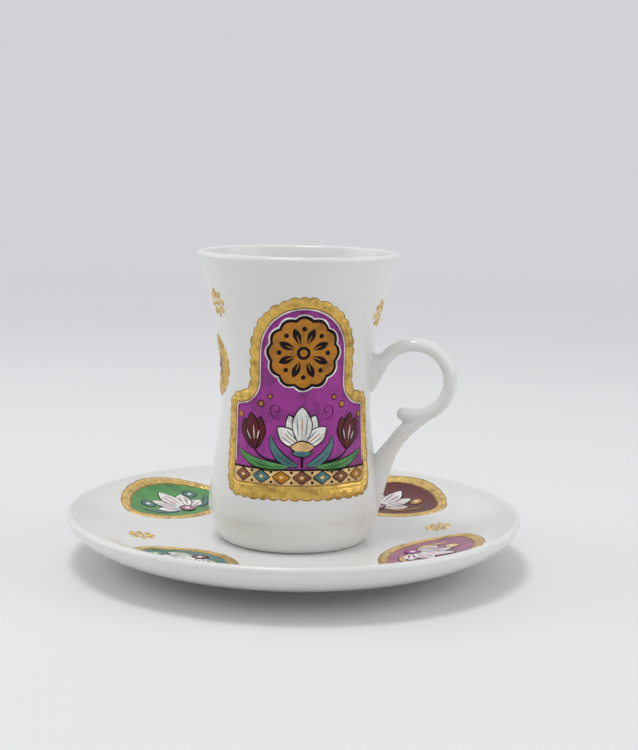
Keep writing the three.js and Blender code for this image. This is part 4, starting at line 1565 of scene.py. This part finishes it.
    def leg(self, tea):
        """Sections from inside the strap down into the belly."""
        cup, handle = tea.cup, tea.handle
        top = self.loop(tea) + polar(LEG_START, handle.loop_radius)
        low = cup.belly_height - LEG_DROP
        radius = reader(cup_wall(cup)[0], 1, 0)
        end = Vector((radius(low) - handle.leg_depth, low))
        leave = top + polar(LEG_START - math.pi / 2, LEG_LEAVE)
        arrive = end + polar(math.pi / 2 - handle.leg_lean, LEG_APPROACH)
        line = bezier(top, leave, arrive, end, LEG_POINTS)
        first_thickness = handle.strap_thickness - LEG_INSET
        first_width = handle.strap_width - LEG_INSET
        sections = []
        for index, point in enumerate(line):
            share = index / (len(line) - 1)
            swell = eased(share, 0.0, LEG_SWOLLEN)
            spread_out = eased(share, LEG_FOOT_START, 1.0)
            thickness = first_thickness + (handle.leg_thickness - first_thickness) * swell
            width = first_width + (
                (handle.leg_width - first_width) * swell
                + (handle.leg_foot - handle.leg_width) * spread_out
            )
            rise, fall = eased(share, WEB_START, WEB_FULL), eased(share, WEB_FULL, 1.0)
            web = handle.leg_web * rise * (1 - fall)
            along = heading(line, index).normalized()
            centre = point + Vector((along.y, -along.x)) * web / 2
            sections.append(self.section(centre, along, thickness + web, width, cup.base))
        return sections


class TEACUP_OT_cup_panels(bpy.types.Operator):
    """Lay the two enamel panels with their gold frames on the cup's wall"""

    bl_idname = "teacup.cup_panels"
    bl_label = "Cup panels"

    def execute(self, context):
        tea = context.scene.tea_set
        decor = tea.decor
        sides = (("front_panel", decor.front_bearing, 1.3), ("back_panel", decor.back_bearing, 8.1))
        for name, bearing, seed in sides:
            place = on_cup(tea, bearing)
            outlines = [niche(decor, 0.0), sill(decor, niche(decor, decor.panel_frame / MM))]
            nodes = [name, f"{name}_frame"]
            lay_panel(tea, name, place, outlines, "purple", "gold", seed, "cup", nodes, rows=26)
            picture = Picture(place, decor)
            paint_shading(picture, spread([outlines[1]], SHADING_STEP)[0])
            paint_border(picture)
            paint_bouquet(picture)
            paint_rosette(picture, 0.0, ROSETTE_HEIGHT)
            picture.pieces(name, tea.finish, "cup")
        return {"FINISHED"}


class TEACUP_OT_medallion(bpy.types.Operator):
    """Lay the round medallion on the side of the cup"""

    bl_idname = "teacup.medallion"
    bl_label = "Side medallion"

    def execute(self, context):
        tea = context.scene.tea_set
        decor = tea.decor
        name = "side_medallion"
        place = on_cup(tea, decor.medallion_bearing)
        up = decor.medallion_height / MM
        radius = decor.medallion_radius / MM
        inside = radius - decor.medallion_frame / MM
        outlines = [ring(0.0, up, size, count=72) for size in (radius, inside)]
        nodes, seed = [name, f"{name}_frame"], 4.4
        lay_panel(tea, name, place, outlines, "ochre", "gold", seed, "cup", nodes, rows=10)
        picture = Picture(place, decor)
        paint_daisy(picture, up, inside)
        picture.pieces(name, tea.finish, "cup")
        return {"FINISHED"}


class TEACUP_OT_saucer_panels(bpy.types.Operator):
    """Lay the four enamel panels with their gold frames on the saucer"""

    bl_idname = "teacup.saucer_panels"
    bl_label = "Saucer panels"

    def execute(self, context):
        tea = context.scene.tea_set
        decor = tea.decor
        for index, panel in enumerate(SAUCER_PANELS, 1):
            bearing, margin, across, ground, accent, disc = panel
            name, seed = f"saucer_panel_{index}", index * 2.7
            place = on_saucer(tea, math.radians(bearing))
            middle = (tea.saucer.radius - decor.leaf_width / 2) / MM - margin
            insets = (0.0, decor.leaf_frame / MM)
            outlines = [leaf(decor, inset, middle, across) for inset in insets]
            nodes = [name, f"saucer_panel_frame_{index}"]
            gilt, body = "pale_gold", "saucer"
            lay_panel(tea, name, place, outlines, ground, gilt, seed, body, nodes, rows=16)
            picture = Picture(place, decor)
            paint_palmette(picture, middle - PALMETTE_DROP, accent, disc)
            picture.pieces(name, tea.finish, body)
        return {"FINISHED"}


class TEACUP_OT_florets(bpy.types.Operator):
    """Set the gold florets on the cup and on the saucer"""

    bl_idname = "teacup.florets"
    bl_label = "Florets"

    def execute(self, context):
        tea = context.scene.tea_set
        for index, (bearing, up) in enumerate(CUP_FLORETS, 1):
            place = on_cup(tea, math.radians(bearing))
            self.set_floret(tea, f"cup_floret_{index}", place, up, index * 7.0, "cup")
        out = tea.decor.saucer_floret / MM
        for index, bearing in enumerate(SAUCER_FLORETS, 1):
            place = on_saucer(tea, math.radians(bearing))
            self.set_floret(tea, f"saucer_floret_{index}", place, out, index * 9.0, "saucer")
        return {"FINISHED"}

    def set_floret(self, tea, node, place, up, seed, body):
        """One floret in place of its solid."""
        bm = bmesh.new()
        floret(bm, place, up, tea.decor, seed)
        material = gold_finish(tea.finish, "pale_gold")
        film_piece(bm, f"{node}_gold", material, tea.decor, body, [node])


class TEACUP_PT_panel(bpy.types.Panel):
    """Sizes, colours and steps of the tea cup"""

    bl_idname = "TEACUP_PT_panel"
    bl_label = "Tea Cup"
    bl_space_type = "VIEW_3D"
    bl_region_type = "UI"
    bl_category = "Tea Cup"

    def draw(self, context):
        tea = context.scene.tea_set
        for step in STEPS:
            self.layout.operator(step.bl_idname)
        for group in (tea.cup, tea.handle, tea.saucer, tea.decor, tea.finish, tea.stage):
            box = self.layout.box()
            for name in group.__annotations__:
                box.prop(group, name)


STEPS = (
    TEACUP_OT_stage,
    TEACUP_OT_saucer,
    TEACUP_OT_cup,
    TEACUP_OT_handle,
    TEACUP_OT_cup_panels,
    TEACUP_OT_medallion,
    TEACUP_OT_saucer_panels,
    TEACUP_OT_florets,
)
GROUPS = (CupSizes, HandleSizes, SaucerSizes, DecorSizes, Finishes, StageSizes, TeaSet)


def register():
    """Adds the settings, operators and panel."""
    for part in (*GROUPS, *STEPS, TEACUP_PT_panel):
        bpy.utils.register_class(part)
    bpy.types.Scene.tea_set = PointerProperty(type=TeaSet)


def unregister():
    """Removes them again."""
    del bpy.types.Scene.tea_set
    for part in reversed((*GROUPS, *STEPS, TEACUP_PT_panel)):
        bpy.utils.unregister_class(part)


def main():
    """Builds every piece in order."""
    register()
    bpy.ops.teacup.stage()
    bpy.ops.teacup.saucer()
    bpy.ops.teacup.cup()
    bpy.ops.teacup.handle()
    bpy.ops.teacup.cup_panels()
    bpy.ops.teacup.medallion()
    bpy.ops.teacup.saucer_panels()
    bpy.ops.teacup.florets()


if __name__ == "__main__":
    main()
